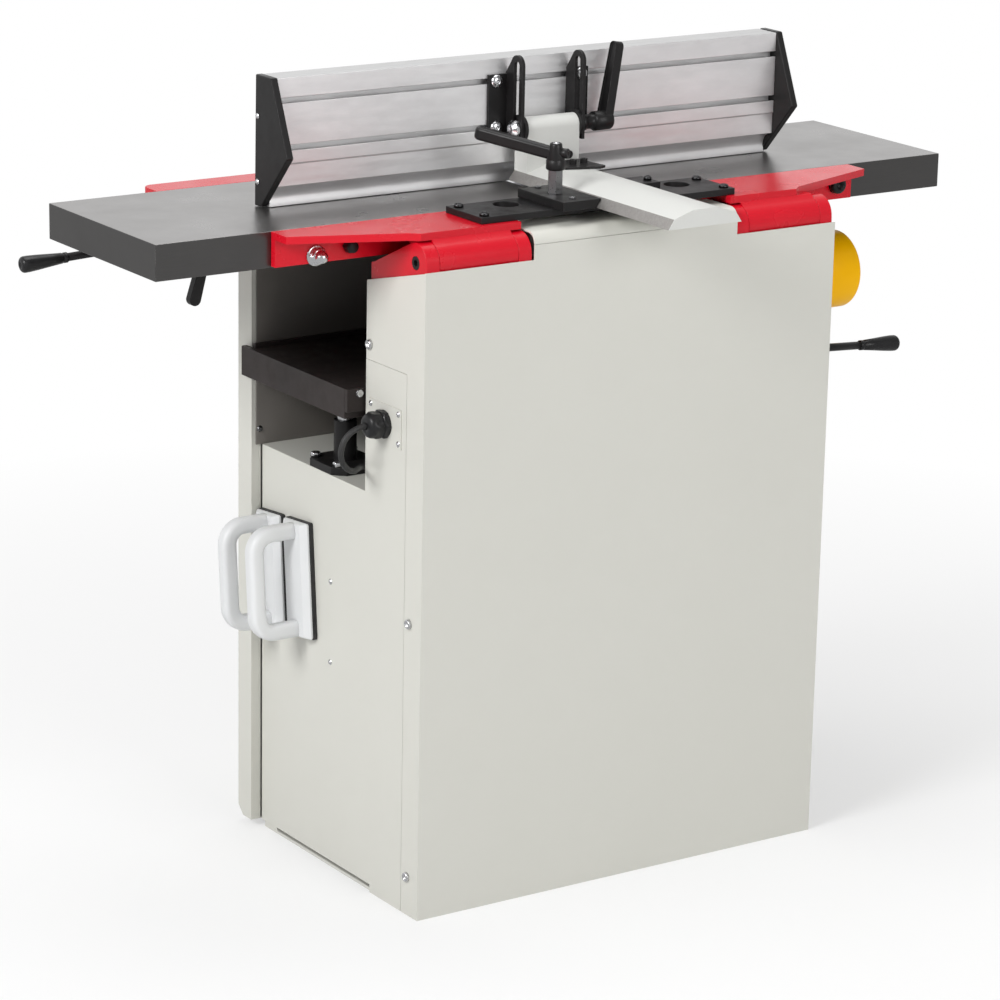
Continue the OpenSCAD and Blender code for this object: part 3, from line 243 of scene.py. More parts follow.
class Shader:
    """A principled material with its texture nodes."""

    def __init__(self, name, color, roughness, metallic=0.0, **sockets):
        self.material = bpy.data.materials.new(name)
        self.material.use_nodes = True
        self.tree = self.material.node_tree
        self.bsdf = self.tree.nodes["Principled BSDF"]
        self.bsdf.inputs["Base Color"].default_value = (*color, 1)
        self.bsdf.inputs["Roughness"].default_value = roughness
        self.bsdf.inputs["Metallic"].default_value = metallic
        for socket, value in sockets.items():
            self.bsdf.inputs[socket.replace("_", " ")].default_value = value
        self.color = color
        self.coordinates = self.node("ShaderNodeTexCoord").outputs["Object"]
        self.tint = None
        self.normal = None

    def node(self, kind, **settings):
        made = self.tree.nodes.new(kind)
        for key, value in settings.items():
            setattr(made, key, value)
        return made

    def link(self, a, b):
        self.tree.links.new(a, b)

    def noise(self, scale, stretch=(1, 1, 1), detail=4.0, rough=0.55):
        """A noise of the object's own coordinates, stretched along its axes."""
        mapping = self.node("ShaderNodeMapping")
        mapping.inputs["Scale"].default_value = stretch
        self.link(self.coordinates, mapping.inputs["Vector"])
        noise = self.node("ShaderNodeTexNoise")
        noise.inputs["Scale"].default_value = scale
        noise.inputs["Detail"].default_value = detail
        noise.inputs["Roughness"].default_value = rough
        self.link(mapping.outputs["Vector"], noise.inputs["Vector"])
        return noise.outputs["Fac"]

    def spread(self, value, low, high, start=0.3, end=0.7):
        """The value moved from the range start to end into low to high."""
        return map_range(self.tree, value, start, end, low, high)

    def vary(self, value, other, amount):
        """Mixes the colour with another where the value is high."""
        return self.mix_in(self.spread(value, 0.0, amount), other)

    def mix_in(self, factor, other):
        """Mixes the colour so far with another by that factor."""
        mix = self.node("ShaderNodeMix", data_type="RGBA")
        self.link(factor, mix.inputs["Factor"])
        if self.tint is None:
            mix.inputs["A"].default_value = (*self.color, 1)
        else:
            self.link(self.tint, mix.inputs["A"])
        mix.inputs["B"].default_value = (*other, 1)
        self.tint = mix.outputs["Result"]
        self.link(self.tint, self.bsdf.inputs["Base Color"])
        return self

    def gloss(self, value, low, high):
        """Lets the roughness follow a value."""
        self.link(self.spread(value, low, high), self.bsdf.inputs["Roughness"])
        return self

    def bump(self, value, distance, strength):
        """Adds relief of that depth in mm."""
        bump = self.node("ShaderNodeBump")
        bump.inputs["Distance"].default_value = distance * MM
        bump.inputs["Strength"].default_value = strength
        self.link(value, bump.inputs["Height"])
        if self.normal is not None:
            self.link(self.normal, bump.inputs["Normal"])
        self.normal = bump.outputs["Normal"]
        self.link(self.normal, self.bsdf.inputs["Normal"])
        return self

    def worn_edges(self, color, amount, radius=1.2, grain=180):
        """Rubbed edges, broken up by a noise."""
        bevelled = self.node("ShaderNodeBevel", samples=4)
        bevelled.inputs["Radius"].default_value = radius * MM
        geometry = self.node("ShaderNodeNewGeometry")
        dot = self.node("ShaderNodeVectorMath", operation="DOT_PRODUCT")
        self.link(bevelled.outputs["Normal"], dot.inputs[0])
        self.link(geometry.outputs["Normal"], dot.inputs[1])
        edge = self.spread(dot.outputs["Value"], 1.0, 0.0, *EDGE_BEND)
        broken = self.spread(self.noise(grain), 0.0, 1.0, *EDGE_BREAK)
        both = self.node("ShaderNodeMath", operation="MULTIPLY")
        self.link(edge, both.inputs[0])
        self.link(broken, both.inputs[1])
        scale = self.node("ShaderNodeMath", operation="MULTIPLY")
        scale.inputs[1].default_value = amount
        self.link(both.outputs["Value"], scale.inputs[0])
        return self.mix_in(scale.outputs["Value"], color)


def painted_sheet(name, color, dark):
    """Powder coat on sheet steel: faint shade patches and a fine orange peel."""
    s = Shader(name, color, 0.42, Specular_IOR_Level=0.4)
    s.vary(s.noise(2.2, detail=3), dark, 0.35)
    s.vary(s.noise(34, detail=6), dark, 0.10)
    s.gloss(s.noise(9), 0.36, 0.5)
    s.worn_edges(tuple(c * 0.72 for c in color), 0.22)
    s.bump(s.noise(620, detail=2), 0.05, 0.5)
    return s.material


def gloss_paint(name, color, dark, peel):
    """Thick gloss paint over a casting, with an orange peel of that depth in mm."""
    s = Shader(name, color, 0.24, Specular_IOR_Level=0.42)
    s.vary(s.noise(7, detail=4), dark, 0.4)
    s.vary(s.noise(140, detail=3), dark, 0.12)
    s.gloss(s.noise(22), 0.2, 0.3)
    s.worn_edges(tuple(c * 0.45 for c in color), 0.35)
    s.bump(s.noise(260, detail=3), peel, 0.6)
    return s.material


def ground_iron(name, shade=1.0):
    """Ground cast iron: grey of that shade, with fine grinding marks along the table and soft stains. A shade
    below 1 makes a darkened copy, used as painted shade on the tables' sides.
    """
    grey = Vector((0.3, 0.292, 0.288)) * shade
    s = Shader(name, tuple(grey), 0.3, 0.92)
    s.vary(s.noise(2.6, (1, 1.4, 1), detail=4), tuple(grey * 0.82), 0.7)
    s.vary(s.noise(45, detail=6), tuple(grey * 1.12), 0.25)
    s.vary(s.noise(1500, (0.03, 1, 1), detail=2), tuple(grey * 1.15), 0.3)
    s.gloss(s.noise(14, detail=5), 0.26, 0.36)
    s.worn_edges((0.6, 0.6, 0.59), 0.8, 0.9, 60)
    s.bump(s.noise(1500, (0.03, 1, 1), detail=2), 0.012, 0.4)
    return s.material


def mill_aluminium(name, color):
    """Extruded aluminium: long streaks, a mottled bloom and a fine grain."""
    s = Shader(name, color, 0.34, 0.75)
    s.vary(s.noise(26, (0.05, 1, 1), detail=5), tuple(c * 0.86 for c in color), 0.5)
    s.vary(s.noise(90, (0.4, 1, 1), detail=6), tuple(c * 0.78 for c in color), 0.5)
    s.vary(s.noise(6, detail=4), tuple(c * 1.06 for c in color), 0.5)
    s.gloss(s.noise(150, (0.1, 1, 1)), 0.34, 0.5)
    s.bump(s.noise(800, (0.03, 1, 1), detail=2), 0.03, 0.5)
    return s.material


def bright_steel(name, color=(0.66, 0.665, 0.68), roughness=0.2):
    """Turned or plated steel with light scuffs."""
    s = Shader(name, color, roughness, 1.0)
    s.vary(s.noise(120, detail=5), tuple(c * 0.7 for c in color), 0.35)
    s.gloss(s.noise(320), roughness * 0.8, roughness * 1.6)
    s.bump(s.noise(1500, detail=2), 0.008, 0.4)
    return s.material


def satin_black(name, color=(0.0095, 0.009, 0.0092), roughness=0.36, grain=700, depth=0.03):
    """Black coating or moulding with a fine grain and rubbed edges."""
    s = Shader(name, color, roughness, Specular_IOR_Level=0.24)
    s.vary(s.noise(18, detail=5), tuple(c * 1.9 for c in color), 0.55)
    s.vary(s.noise(260, detail=3), tuple(c * 1.5 for c in color), 0.3)
    s.gloss(s.noise(48), roughness * 0.85, roughness * 1.3)
    s.worn_edges((0.11, 0.11, 0.112), 0.5, 0.9, 140)
    s.bump(s.noise(grain, detail=2), depth, 0.5)
    return s.material


def moulded_plastic(name, color, shade, roughness, specular=0.5):
    """Moulded plastic with slight shade patches and a fine surface."""
    s = Shader(name, color, roughness, Specular_IOR_Level=specular)
    s.vary(s.noise(8, detail=4), shade, 0.4)
    s.vary(s.noise(90, detail=3), shade, 0.12)
    s.gloss(s.noise(40), roughness * 0.85, roughness * 1.25)
    s.bump(s.noise(500, detail=2), 0.02, 0.5)
    return s.material


def cast_surface(name, color):
    """A rough casting under a thin coat."""
    s = Shader(name, color, 0.55, 0.3)
    s.vary(s.noise(30, detail=6), tuple(c * 0.6 for c in color), 0.6)
    s.gloss(s.noise(80), 0.45, 0.7)
    s.worn_edges(tuple(min(1, c * 2.2) for c in color), 0.4)
    s.bump(s.noise(420, detail=4), 0.12, 0.7)
    return s.material


def soft_rubber(name):
    """Dull black rubber with a dusty bloom."""
    s = Shader(name, (0.014, 0.014, 0.0145), 0.62)
    s.vary(s.noise(60, detail=5), (0.035, 0.034, 0.033), 0.5)
    s.gloss(s.noise(90), 0.5, 0.75)
    s.bump(s.noise(900, detail=2), 0.03, 0.6)
    return s.material


WHITE_PAINT = painted_sheet("white_paint", (0.62, 0.617, 0.57), (0.575, 0.57, 0.52))
# Bay walls: the pale sheet paint darkened to a grey-brown, painted shade for the shade inside the bay
BAY_PAINTED_SHADE = painted_sheet("bay_painted_shade", (0.2, 0.185, 0.17), (0.15, 0.138, 0.125))
BAR_PAINT = painted_sheet("bar_paint", (0.64, 0.645, 0.62), (0.6, 0.6, 0.575))
RED_GLOSS = gloss_paint("red_gloss", (0.62, 0.003, 0.016), (0.52, 0.002, 0.011), 0.015)
RED_PEEL = gloss_paint("red_peel", (0.62, 0.003, 0.016), (0.5, 0.002, 0.011), 0.16)
IRON = ground_iron("ground_iron")
# Table sides: the same ground iron darkened to a third, painted shade
IRON_SIDE_SHADED = ground_iron("iron_side_painted_shade", 0.33)
ALUMINIUM = mill_aluminium("mill_aluminium", (0.8, 0.795, 0.8))
# Fence top: a darker copy of the same aluminium, painted shade for the upward faces
ALUMINIUM_TOP_SHADED = mill_aluminium("aluminium_top_painted_shade", (0.56, 0.56, 0.56))
STEEL = bright_steel("bright_steel")
BARE_FLANK = bright_steel("bare_flank", (0.4, 0.385, 0.37), 0.42)
DARK_STEEL = bright_steel("dark_steel", (0.2, 0.2, 0.205), 0.3)
BLACK_STEEL = bright_steel("black_steel", (0.055, 0.055, 0.057), 0.26)
BLACK = satin_black("satin_black")
BROWN = satin_black("brown_black", (0.024, 0.019, 0.018), 0.42, 500, 0.05)
GRIP = satin_black("grip_black", (0.012, 0.012, 0.0125), 0.3, 300, 0.05)
YELLOW = moulded_plastic("yellow_plastic", (1.0, 0.52, 0.0), (0.97, 0.48, 0.0), 0.3, specular=0.15)
WHITE = moulded_plastic("white_plastic", (0.7, 0.71, 0.715), (0.65, 0.66, 0.67), 0.38)
SWITCH = moulded_plastic("switch_plastic", (0.62, 0.5, 0.05), (0.54, 0.43, 0.04), 0.4)
GREEN = moulded_plastic("green_plastic", (0.015, 0.26, 0.05), (0.01, 0.2, 0.04), 0.25)
RED_PLASTIC = moulded_plastic("red_plastic", (0.55, 0.012, 0.012), (0.44, 0.008, 0.008), 0.25)
CASTING = cast_surface("casting", (0.12, 0.122, 0.126))
MOTOR = cast_surface("motor_coat", (0.045, 0.05, 0.056))
RUBBER = soft_rubber("soft_rubber")


# The mains lead: its free stretch from the gland, then a coil on the bay floor, ending in the plug
CORD_D = 7.0
CORD_ROUTE = [
    (-324, -118, 598), (-329, -118, 598), (-342, -118, 594), (-352, -117, 584), (-356, -116, 570),
    (-352, -114, 556), (-342, -110, 546), (-330, -103, 541), (-318, -91, 538.5), (-306, -77, 535.5),
    (-295, -66, 532.5), (-282, -57, 528.5), (-267, -51, 523.5), (-250, -47, 518.5), (-232, -44, 514),
    (-214, -41, 511), (-194, -39, 509.4), (-172, -37, 508.8), (-150, -35, 508.8),
    (-130, -33.6, 508.8), (-112, -33, 508.8), (-102, -33, 508.8),
]
COIL_AT = (-95, 20)
COIL_Z = 508.8
COIL_R = 53
COIL_TURNS = 3
COIL_PITCH = CORD_D + 0.6
COIL_LAYER = CORD_D + 0.7
COIL_TAIL = (CORD_D, 25, 45)
COIL_STEPS = 24


def coil_point(t):
    """The coil's centreline after t turns: in on the lower layer, then out again on the upper one."""
    climb = min(1, max(0, (t - COIL_TURNS + 0.25) * 2))
    climb = climb * climb * (3 - 2 * climb)
    a = 2 * math.pi * t - math.pi / 2
    r = COIL_R - COIL_PITCH * (COIL_TURNS - abs(t - COIL_TURNS))
    return mm(COIL_AT[0] + r * math.cos(a), COIL_AT[1] + r * math.sin(a), COIL_Z + COIL_LAYER * climb)


def smooth_line(points, parts):
    """A curve through the points, with that many parts between each two."""
    line = []
    for i in range(len(points) - 1):
        p0, p1 = points[max(i - 1, 0)], points[i]
        p2, p3 = points[i + 1], points[min(i + 2, len(points) - 1)]
        for k in range(parts):
            t = k / parts
            line.append(
                0.5
                * (2 * p1 + (p2 - p0) * t + (2 * p0 - 5 * p1 + 4 * p2 - p3) * t**2
                   + (3 * p1 - p0 - 3 * p2 + p3) * t**3)
            )
    return line + [points[-1]]


def make_cord():
    points = [mm(*p) for p in CORD_ROUTE]
    points += [coil_point(i / COIL_STEPS) for i in range(2 * COIL_TURNS * COIL_STEPS + 1)]
    end = coil_point(2 * COIL_TURNS)
    points += [end + mm(x, 0, 0) for x in COIL_TAIL]
    line = smooth_line(points, 3)
    curve = bpy.data.curves.new("mains_lead", "CURVE")
    curve.dimensions = "3D"
    curve.bevel_depth = CORD_D / 2 * MM
    curve.bevel_resolution = 4
    curve.use_fill_caps = True
    spline = curve.splines.new("POLY")
    spline.points.add(len(line) - 1)
    for point, place in zip(spline.points, line):
        point.co = (*place, 1)
    lead = bpy.data.objects.new("mains_lead", curve)
    bpy.context.scene.collection.objects.link(lead)
    dress(lead, RUBBER, "cabinet", "black_rubber", "mains_cord", "cord_coil")


make_camera()
make_cord()


# CAD nodes that stay: edge rounding in mm and material
STAYING = {
    "base_frame": (0.8, WHITE_PAINT), "rear_panel": (0.3, WHITE_PAINT),
    "left_side_panel": (0, WHITE_PAINT), "right_side_panel": (0, WHITE_PAINT),
    # bay_walls takes the darkened paint: painted shade
    "front_cover": (1.0, WHITE_PAINT), "shelf_plate": (0.6, WHITE_PAINT), "bay_walls": (0.4, BAY_PAINTED_SHADE),
    "centre_cover": (0.3, WHITE_PAINT), "bed_castings": (1.5, CASTING), "hinge_ears": (1.6, RED_PEEL),
    "hinge_pins": (0.6, BLACK), "cutter_bearings": (0.5, STEEL), "motor": (0.6, MOTOR),
    "drive_belt": (0.4, RUBBER), "guide_columns": (0.8, BLACK), "plug": (0.8, RUBBER),
    "switch_box": (3.0, SWITCH), "kickback_shaft": (0.5, STEEL), "outfeed_table": (0.9, IRON),
    "infeed_table": (0.9, IRON), "outfeed_bracket": (1.3, RED_PEEL), "infeed_bracket": (1.3, RED_PEEL),
    "bridge_plate": (0.7, BLACK), "clamp_block": (0.9, BLACK), "clamp_stud": (0.6, DARK_STEEL),
    "latch_rail": (1.4, RED_GLOSS), "fence_bar": (1.2, BAR_PAINT), "rear_guard": (0.4, BLACK),
    "pivot_bolt": (0.6, STEEL), "slotted_brackets": (0.5, BLACK), "fence_profile": (0.6, ALUMINIUM),
    "fence_end_plates": (1.6, BLACK), "thicknesser_table": (0.9, BROWN),
    "table_side_rails": (0.5, BROWN), "guide_rods": (0.5, STEEL), "lifting_screw": (0.4, STEEL),
    "handwheel": (0.7, BLACK), "dust_hood": (1.2, BLACK), "cutterblock": (0.4, STEEL),
    "cutter_knives": (0.3, STEEL), "motor_pulley": (0.5, STEEL), "infeed_roller": (0.3, STEEL),
    "outfeed_roller": (0.6, STEEL), "kickback_fingers": (0.5, DARK_STEEL), "start_button": (1.0, GREEN),
    "stop_button": (1.0, RED_PLASTIC),
}


def dress_cad():
    for name, (width, material) in STAYING.items():
        node = NODES[name]
        node.data.materials.clear()
        node.data.materials.append(material)
        if width == 0:
            node.data.shade_flat()
            continue
        node.data.shade_smooth()
        if "custom_normal" in node.data.attributes:
            node.data.attributes.remove(node.data.attributes["custom_normal"])
        bevel(node, width)


def repaint(name, material, test):
    """Gives another material to the faces of a CAD node whose centre and normal pass the test."""
    mesh = NODES[name].data
    mesh.materials.append(material)
    for face in mesh.polygons:
        if test(face.center, face.normal):
            face.material_index = len(mesh.materials) - 1


# Sizes of the CAD model that tell its details apart, in mm
RAIL_T = 6
PLUG_PINS = 19
DISC_REACH = 42.4
BOLT_R = 5.5
SHAFT_PROUD = 1.2
BAR_SHOULDER = 12
HAIR = 0.1


def repaint_details():
    rail_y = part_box("thicknesser_table")[0].y - (RAIL_T + HAIR) * MM
    repaint("table_side_rails", STEEL, lambda c, n: c.y < rail_y)
    plug_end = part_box("plug")[1].x - (PLUG_PINS - HAIR) * MM
    repaint("plug", STEEL, lambda c, n: c.x > plug_end)
    axis = PIVOT["fence_tilt"]
    reach, bolt_r = DISC_REACH * MM, BOLT_R * MM
    repaint("pivot_bolt", BLACK, lambda c, n: abs(c.x - axis.x) < reach and (c - axis).yz.length > bolt_r)
    shaft_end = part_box("front_cover")[1].y + SHAFT_PROUD * MM
    repaint("handwheel", STEEL, lambda c, n: c.y < shaft_end)
    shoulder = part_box("fence_bar")[0].z + BAR_SHOULDER * MM
    repaint("fence_bar", BARE_FLANK, lambda c, n: abs(n.x) > 0.6 and c.z < shoulder)
    # The fence's upward faces get the darker aluminium: painted shade
    repaint("fence_profile", ALUMINIUM_TOP_SHADED, lambda c, n: n.z > 0.95)
    for name in ("infeed_table", "outfeed_table"):
        # The tables' side and end faces get the darkened iron: painted shade
        repaint(name, IRON_SIDE_SHADED, lambda c, n: n.z < 0.5)
    for name in ("infeed_bracket", "outfeed_bracket"):
        repaint(name, RED_GLOSS, lambda c, n: abs(n.z) > 0.99)


dress_cad()
repaint_details()


# Fasteners: their places in the CAD model, in mm
GLAND_PLATE_T = 1.2
SIDE_SCREWS = ((-83, 686), (-176, 367), (-178, 49))
LOW_SCREW_Y, LOW_SCREW_Z = 2, (268, 371)
GLAND_SCREWS = ((-149, 580), (-149, 616), (-88, 580), (-88, 616))
COLUMN_INSET, FLANGE_BOLT, FLANGE_T = 35, 26, 10
WALL_SCREW_X, WALL_SCREW_Z, WALL_SCREW_IN = 301, (525, 755), 2
BRIDGE_EDGE, BRIDGE_FAR_EDGE = 10, 12
CLAMP_SCREW = (66.5, -126, 855)
BRACKET_T = 9
BRACKET_BOLT, BRACKET_SCREW, CAP_NUT = (-336, 811), (380, 814), (-380, 804)
FENCE_BOLT_X, FENCE_BOLT_Z = 61.9, (909.1, 965.3)
FENCE_FLANGE_T, T_NUT_IN = 4, 8.3
SHANK = [(0, 0), (0, 3), (9, 3), (9, 0)]
END_SCREW_Y, END_SCREW_Z, END_SCREW_T = 38, (866, 944), 2


def socket_screw(name, at, direction, r, h):
    """A button head screw with a hexagon socket, its underside on the point."""
    dome = arc_profile((h * 0.45, r * 0.62), r * 0.38, 90, 12, 5)
    profile = [(0, 0), (0, r), (h * 0.45, r)] + dome[1:]
    profile += [(h * 0.86, r * 0.52, 6), (h * 0.35, r * 0.5, 6), (h * 0.35, 0)]
    return lathe(name, profile, at, direction, 36)


def pan_screw(name, at, direction, r, h):
    """A washer and a domed head with a shallow square recess."""
    profile = [(0, 0), (0, r), (h * 0.2, r), (h * 0.25, r * 0.78), (h * 0.55, r * 0.76), (h * 0.82, r * 0.6)]
    profile += [(h * 0.94, r * 0.4), (h, r * 0.3, 4), (h * 0.6, r * 0.22, 4), (h * 0.6, 0)]
    return lathe(name, profile, at, direction, 32)


def round_head(name, at, direction, r, h):
    """A wide low dome with a crosswise recess."""
    profile = [(0, 0), (0, r), (h * 0.22, r), (h * 0.5, r * 0.93), (h * 0.75, r * 0.76), (h * 0.92, r * 0.52)]
    profile += [(h, r * 0.36), (h, r * 0.3, 4), (h * 0.55, r * 0.22, 4), (h * 0.55, 0)]
    return lathe(name, profile, at, direction, 40)


def hex_bolt(name, at, direction, r, h):
    """A hexagon head with a chamfered top."""
    profile = [(0, 0), (0, r, 6), (h * 0.8, r, 6), (h, r * 0.84), (h, 0)]
    return lathe(name, profile, at, direction, 36)


def acorn_nut(name, at, direction):
    """A washer, a hexagon and the dome of a cap nut."""
    profile = [(0, 0), (0, 12.4), (1.6, 12.4), (2, 11), (2, 10.8, 6), (10, 10.8, 6), (11, 8.6), (11, 8)]
    profile += [(13 + 8 * math.sin(a), 8 * math.cos(a)) for a in (0, 0.3, 0.6, 0.9, 1.2, 1.4)]
    profile += [(21, 0)]
    return lathe(name, profile, at, direction, 48)


def make_panel_screws():
    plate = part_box("left_side_panel")[0].x
    left = plate + GLAND_PLATE_T * MM
    made = []
    for y, z in SIDE_SCREWS:
        for side in (-1, 1):
            at = Vector((side * abs(left), y * MM, z * MM))
            made.append(coat(socket_screw("screw", at, side * X, r=6, h=4), STEEL))
    for z in LOW_SCREW_Z:
        at = Vector((left, LOW_SCREW_Y * MM, z * MM))
        made.append(coat(pan_screw("screw", at, -X, r=3.5, h=2), STEEL))
    for y, z in GLAND_SCREWS:
        at = Vector((plate, y * MM, z * MM))
        made.append(coat(pan_screw("screw", at, -X, r=3.5, h=2), STEEL))
    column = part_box("guide_columns")
    column_x, column_y = column[1].x - COLUMN_INSET * MM, (column[0].y + column[1].y) / 2
    flange = column[0].z + FLANGE_T * MM
    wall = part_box("bay_walls")[1].y - WALL_SCREW_IN * MM
    for side in (-1, 1):
        for x in (-FLANGE_BOLT, FLANGE_BOLT):
            for y in (-FLANGE_BOLT, FLANGE_BOLT):
                at = Vector((side * (column_x + x * MM), column_y + y * MM, flange))
                made.append(coat(hex_bolt("screw", at, Z, r=6.5, h=6), STEEL))
        for z in WALL_SCREW_Z:
            at = Vector((side * WALL_SCREW_X * MM, wall, z * MM))
            made.append(coat(pan_screw("screw", at, -Y, r=4, h=2), DARK_STEEL))
    dress(join("panel_screws_made", *made), None, "cabinet", "bright_steel", "panel_screws")


def make_table_screws():
    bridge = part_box("bridge_plate")
    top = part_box("clamp_block")[0].z
    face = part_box("infeed_bracket")[1].y - BRACKET_T * MM

    def on_face(place):
        return Vector((place[0] * MM, face, place[1] * MM))

    made = []
    for x in (bridge[0].x + BRIDGE_EDGE * MM, bridge[1].x - BRIDGE_EDGE * MM):
        for y in (bridge[0].y + BRIDGE_EDGE * MM, bridge[1].y - BRIDGE_FAR_EDGE * MM):
            made.append(coat(socket_screw("screw", Vector((x, y, top)), Z, r=6, h=4), BLACK_STEEL))
    made.append(coat(socket_screw("screw", mm(*CLAMP_SCREW), Z, r=5, h=6), BLACK_STEEL))
    made.append(coat(hex_bolt("screw", on_face(BRACKET_BOLT), -Y, r=8, h=12), BLACK))
    made.append(coat(socket_screw("screw", on_face(BRACKET_SCREW), -Y, r=11, h=13), BLACK))
    made.append(coat(acorn_nut("nut", on_face(CAP_NUT), -Y), STEEL))
    dress(join("table_screws_made", *made), None, "tables", "bright_steel", "table_screws")


def make_fence_bolts():
    lo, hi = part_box("fence_bolts")
    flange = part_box("fence_profile")[0].y - FENCE_FLANGE_T * MM
    pivot = PIVOT["fence_tilt"]
    made = []
    for side in (-1, 1):
        for z in FENCE_BOLT_Z:
            at = Vector((pivot.x + side * FENCE_BOLT_X * MM, flange, z * MM))
            made.append(coat(round_head("bolt", at, -Y, r=8, h=5), STEEL))
            made.append(coat(lathe("shank", SHANK, at, Y, 16), STEEL))
            made.append(coat(hex_bolt("nut", at + mm(0, T_NUT_IN, 0), Y, r=6.2, h=4.7), STEEL))
        for z in END_SCREW_Z:
            x = lo.x + END_SCREW_T * MM if side < 0 else hi.x - END_SCREW_T * MM
            at = Vector((x, END_SCREW_Y * MM, z * MM))
            made.append(coat(pan_screw("bolt", at, side * X, r=3.5, h=END_SCREW_T), STEEL))
    dress(join("fence_bolts_made", *made), None, "fence", "bright_steel", "fence_bolts")


make_panel_screws()
make_table_screws()
make_fence_bolts()


# Levers and grips: turn, rise and lean in degrees, other sizes in mm
HEIGHT_HEADING, HEIGHT_STUB, HEIGHT_HUB = (177, -3.6), 7.9, 14
HEIGHT_ROD, HEIGHT_GRIP_AT = 156, 150
FEED_HEADING, FEED_HUB_Y, FEED_HUB = (0, -3.6), 9.6, 18.6
FEED_ROD_AT, FEED_ROD, FEED_GRIP_AT = 6, 122, 124
LOCK_LEAN, LOCK_ARM_AT = 196, 8
CLAMP_TURN, CLAMP_RISE = 125, 10
CLAMP_ARM_Z, CLAMP_BOSS_Z, CLAMP_SCREW_Z, CLAMP_BOSS_OUT = 18, 20, 30, 4
TILT_LEAN, TILT_ARM_AT, TILT_ARM_UP = 10, 37, 2


def upright_heading(lean):
    """A direction in the XZ plane from its lean off Z, in degrees."""
    a = math.radians(lean)
    return Vector((math.sin(a), 0, math.cos(a)))


def heading(turn, rise):
    """A direction from its angle about Z and its rise, in degrees."""
    t, r = math.radians(turn), math.radians(rise)
    return Vector((math.cos(t) * math.cos(r), math.sin(t) * math.cos(r), math.sin(r)))


def moulded_grip(name, at, direction):
    """A tapered grip with a collar and a rounded end, 60 mm long."""
    profile = [(-1, 0), (-1, 5.6), (0, 6.4), (4, 6.4), (4.6, 5.9), (6, 5.9), (6.6, 6.5)]
    profile += [(20, 7.6), (38, 9.2), (50, 10)]
    profile += arc_profile((55, 5), 5, 90, 20, 6)
    profile += [(60, 5.5), (60, 4), (59, 3.4), (59, 0)]
    return lathe(name, profile, at, direction, 40)


def round_rod(name, at, direction, r, length):
    profile = [(0, 0), (0, r - 0.8), (0.8, r), (length - 0.8, r), (length, r - 0.8), (length, 0)]
    return lathe(name, profile, at, direction, 32)


def hub(name, at, direction, r, length):
    """A turned hub with rounded rims and a shallow bore mark."""
    profile = [(0, 0), (0, r - 1.2), (1.2, r), (length - 1.6, r), (length, r - 1.6), (length, r * 0.55)]
    profile += [(length - 1.5, r * 0.5), (length - 1.5, 0)]
    return lathe(name, profile, at, direction, 40)


def handle_arm(name, at, direction, face, length, root, tip, thick, recess, edge=1.0):
    """A die cast lever arm: a tapered blade with a round tip and a sunk panel on the face's side."""
    bm = bmesh.new()
    place = frame_along(at, direction, face)
    outline = [(-root / 2, 0), (-tip / 2, length - tip / 2)]
    outline += [(x, length - tip / 2 + y) for x, y in arc_profile((0, 0), tip / 2, 180, 0, 12)[1:]]
    outline += [(root / 2, 0)]
    low = [bm.verts.new(place @ mm(x, -thick / 2, z)) for x, z in outline]
    high = [bm.verts.new(place @ mm(x, thick / 2, z)) for x, z in outline]
    n = len(outline)
    for k in range(n):
        bm.faces.new((low[k], low[(k + 1) % n], high[(k + 1) % n], high[k]))
    sides = [bm.faces.new(low), bm.faces.new(high)]
    if recess:
        for side in sides:
            normal_sign = -1 if side is sides[0] else 1
            step = place.to_3x3() @ mm(0, -normal_sign * thick * 0.25, 0)
            for inset in (recess, 0.5):
                bmesh.ops.inset_region(bm, faces=[side], thickness=inset * MM, use_even_offset=True)
            for v in side.verts:
                v.co += step
    obj = new_object(name, bm)
    return bevel(obj, edge, 3, 40)


def applied(obj):
    """The object with its modifiers made part of its mesh, ready to be joined."""
    graph = bpy.context.evaluated_depsgraph_get()
    mesh = bpy.data.meshes.new_from_object(obj.evaluated_get(graph))
    obj.modifiers.clear()
    obj.data = mesh
    return obj


def make_grip_levers():
    height = PIVOT["height_lever_swing"]
    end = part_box("height_lever")[0].y
    y = end + HEIGHT_STUB * MM
    along = heading(*HEIGHT_HEADING)
    base = Vector((height.x, y + HEIGHT_HUB / 2 * MM, height.z))
    dress(
        join(
            "height_lever_made",
            coat(round_rod("shaft", Vector((height.x, end, height.z)), Y, r=6, length=20), STEEL),
            coat(hub("hub", Vector((height.x, y, height.z)), Y, r=13, length=HEIGHT_HUB), BLACK),
            coat(round_rod("rod", base, along, r=5, length=HEIGHT_ROD), BLACK),
            coat(moulded_grip("grip", base + along * HEIGHT_GRIP_AT * MM, along), GRIP),
        ),
        None, "height_lever", "black_plastic", "height_lever",
    )
    feed = PIVOT["feed_engage"]
    along = heading(*FEED_HEADING)
    near = feed.y - FEED_HUB_Y * MM
    dress(
        join(
            "feed_lever_made",
            coat(hub("hub", Vector((feed.x, near, feed.z)), Y, r=12, length=FEED_HUB), BLACK),
            coat(round_rod("rod", feed + along * FEED_ROD_AT * MM, along, r=5, length=FEED_ROD), BLACK),
            coat(moulded_grip("grip", feed + along * FEED_GRIP_AT * MM, along), GRIP),
        ),
        None, "feed_lever", "black_plastic", "feed_lever",
    )


def make_lock_lever():
    pivot = PIVOT["infeed_lock"]
    along = upright_heading(LOCK_LEAN)
    arm_at = pivot + mm(0, LOCK_ARM_AT, 0)
    arm = handle_arm("arm", arm_at, along, Y, length=54, root=12, tip=15, thick=11, recess=0)
    dress(
        join(
            "lock_lever_made",
            coat(round_rod("shaft", pivot, Y, r=5, length=38), STEEL),
            coat(hub("hub", pivot, Y, r=9, length=23.6), BLACK),
            coat(applied(arm), BLACK),
        ),
        None, "lock_lever", "black_plastic", "infeed_lock_lever",
    )


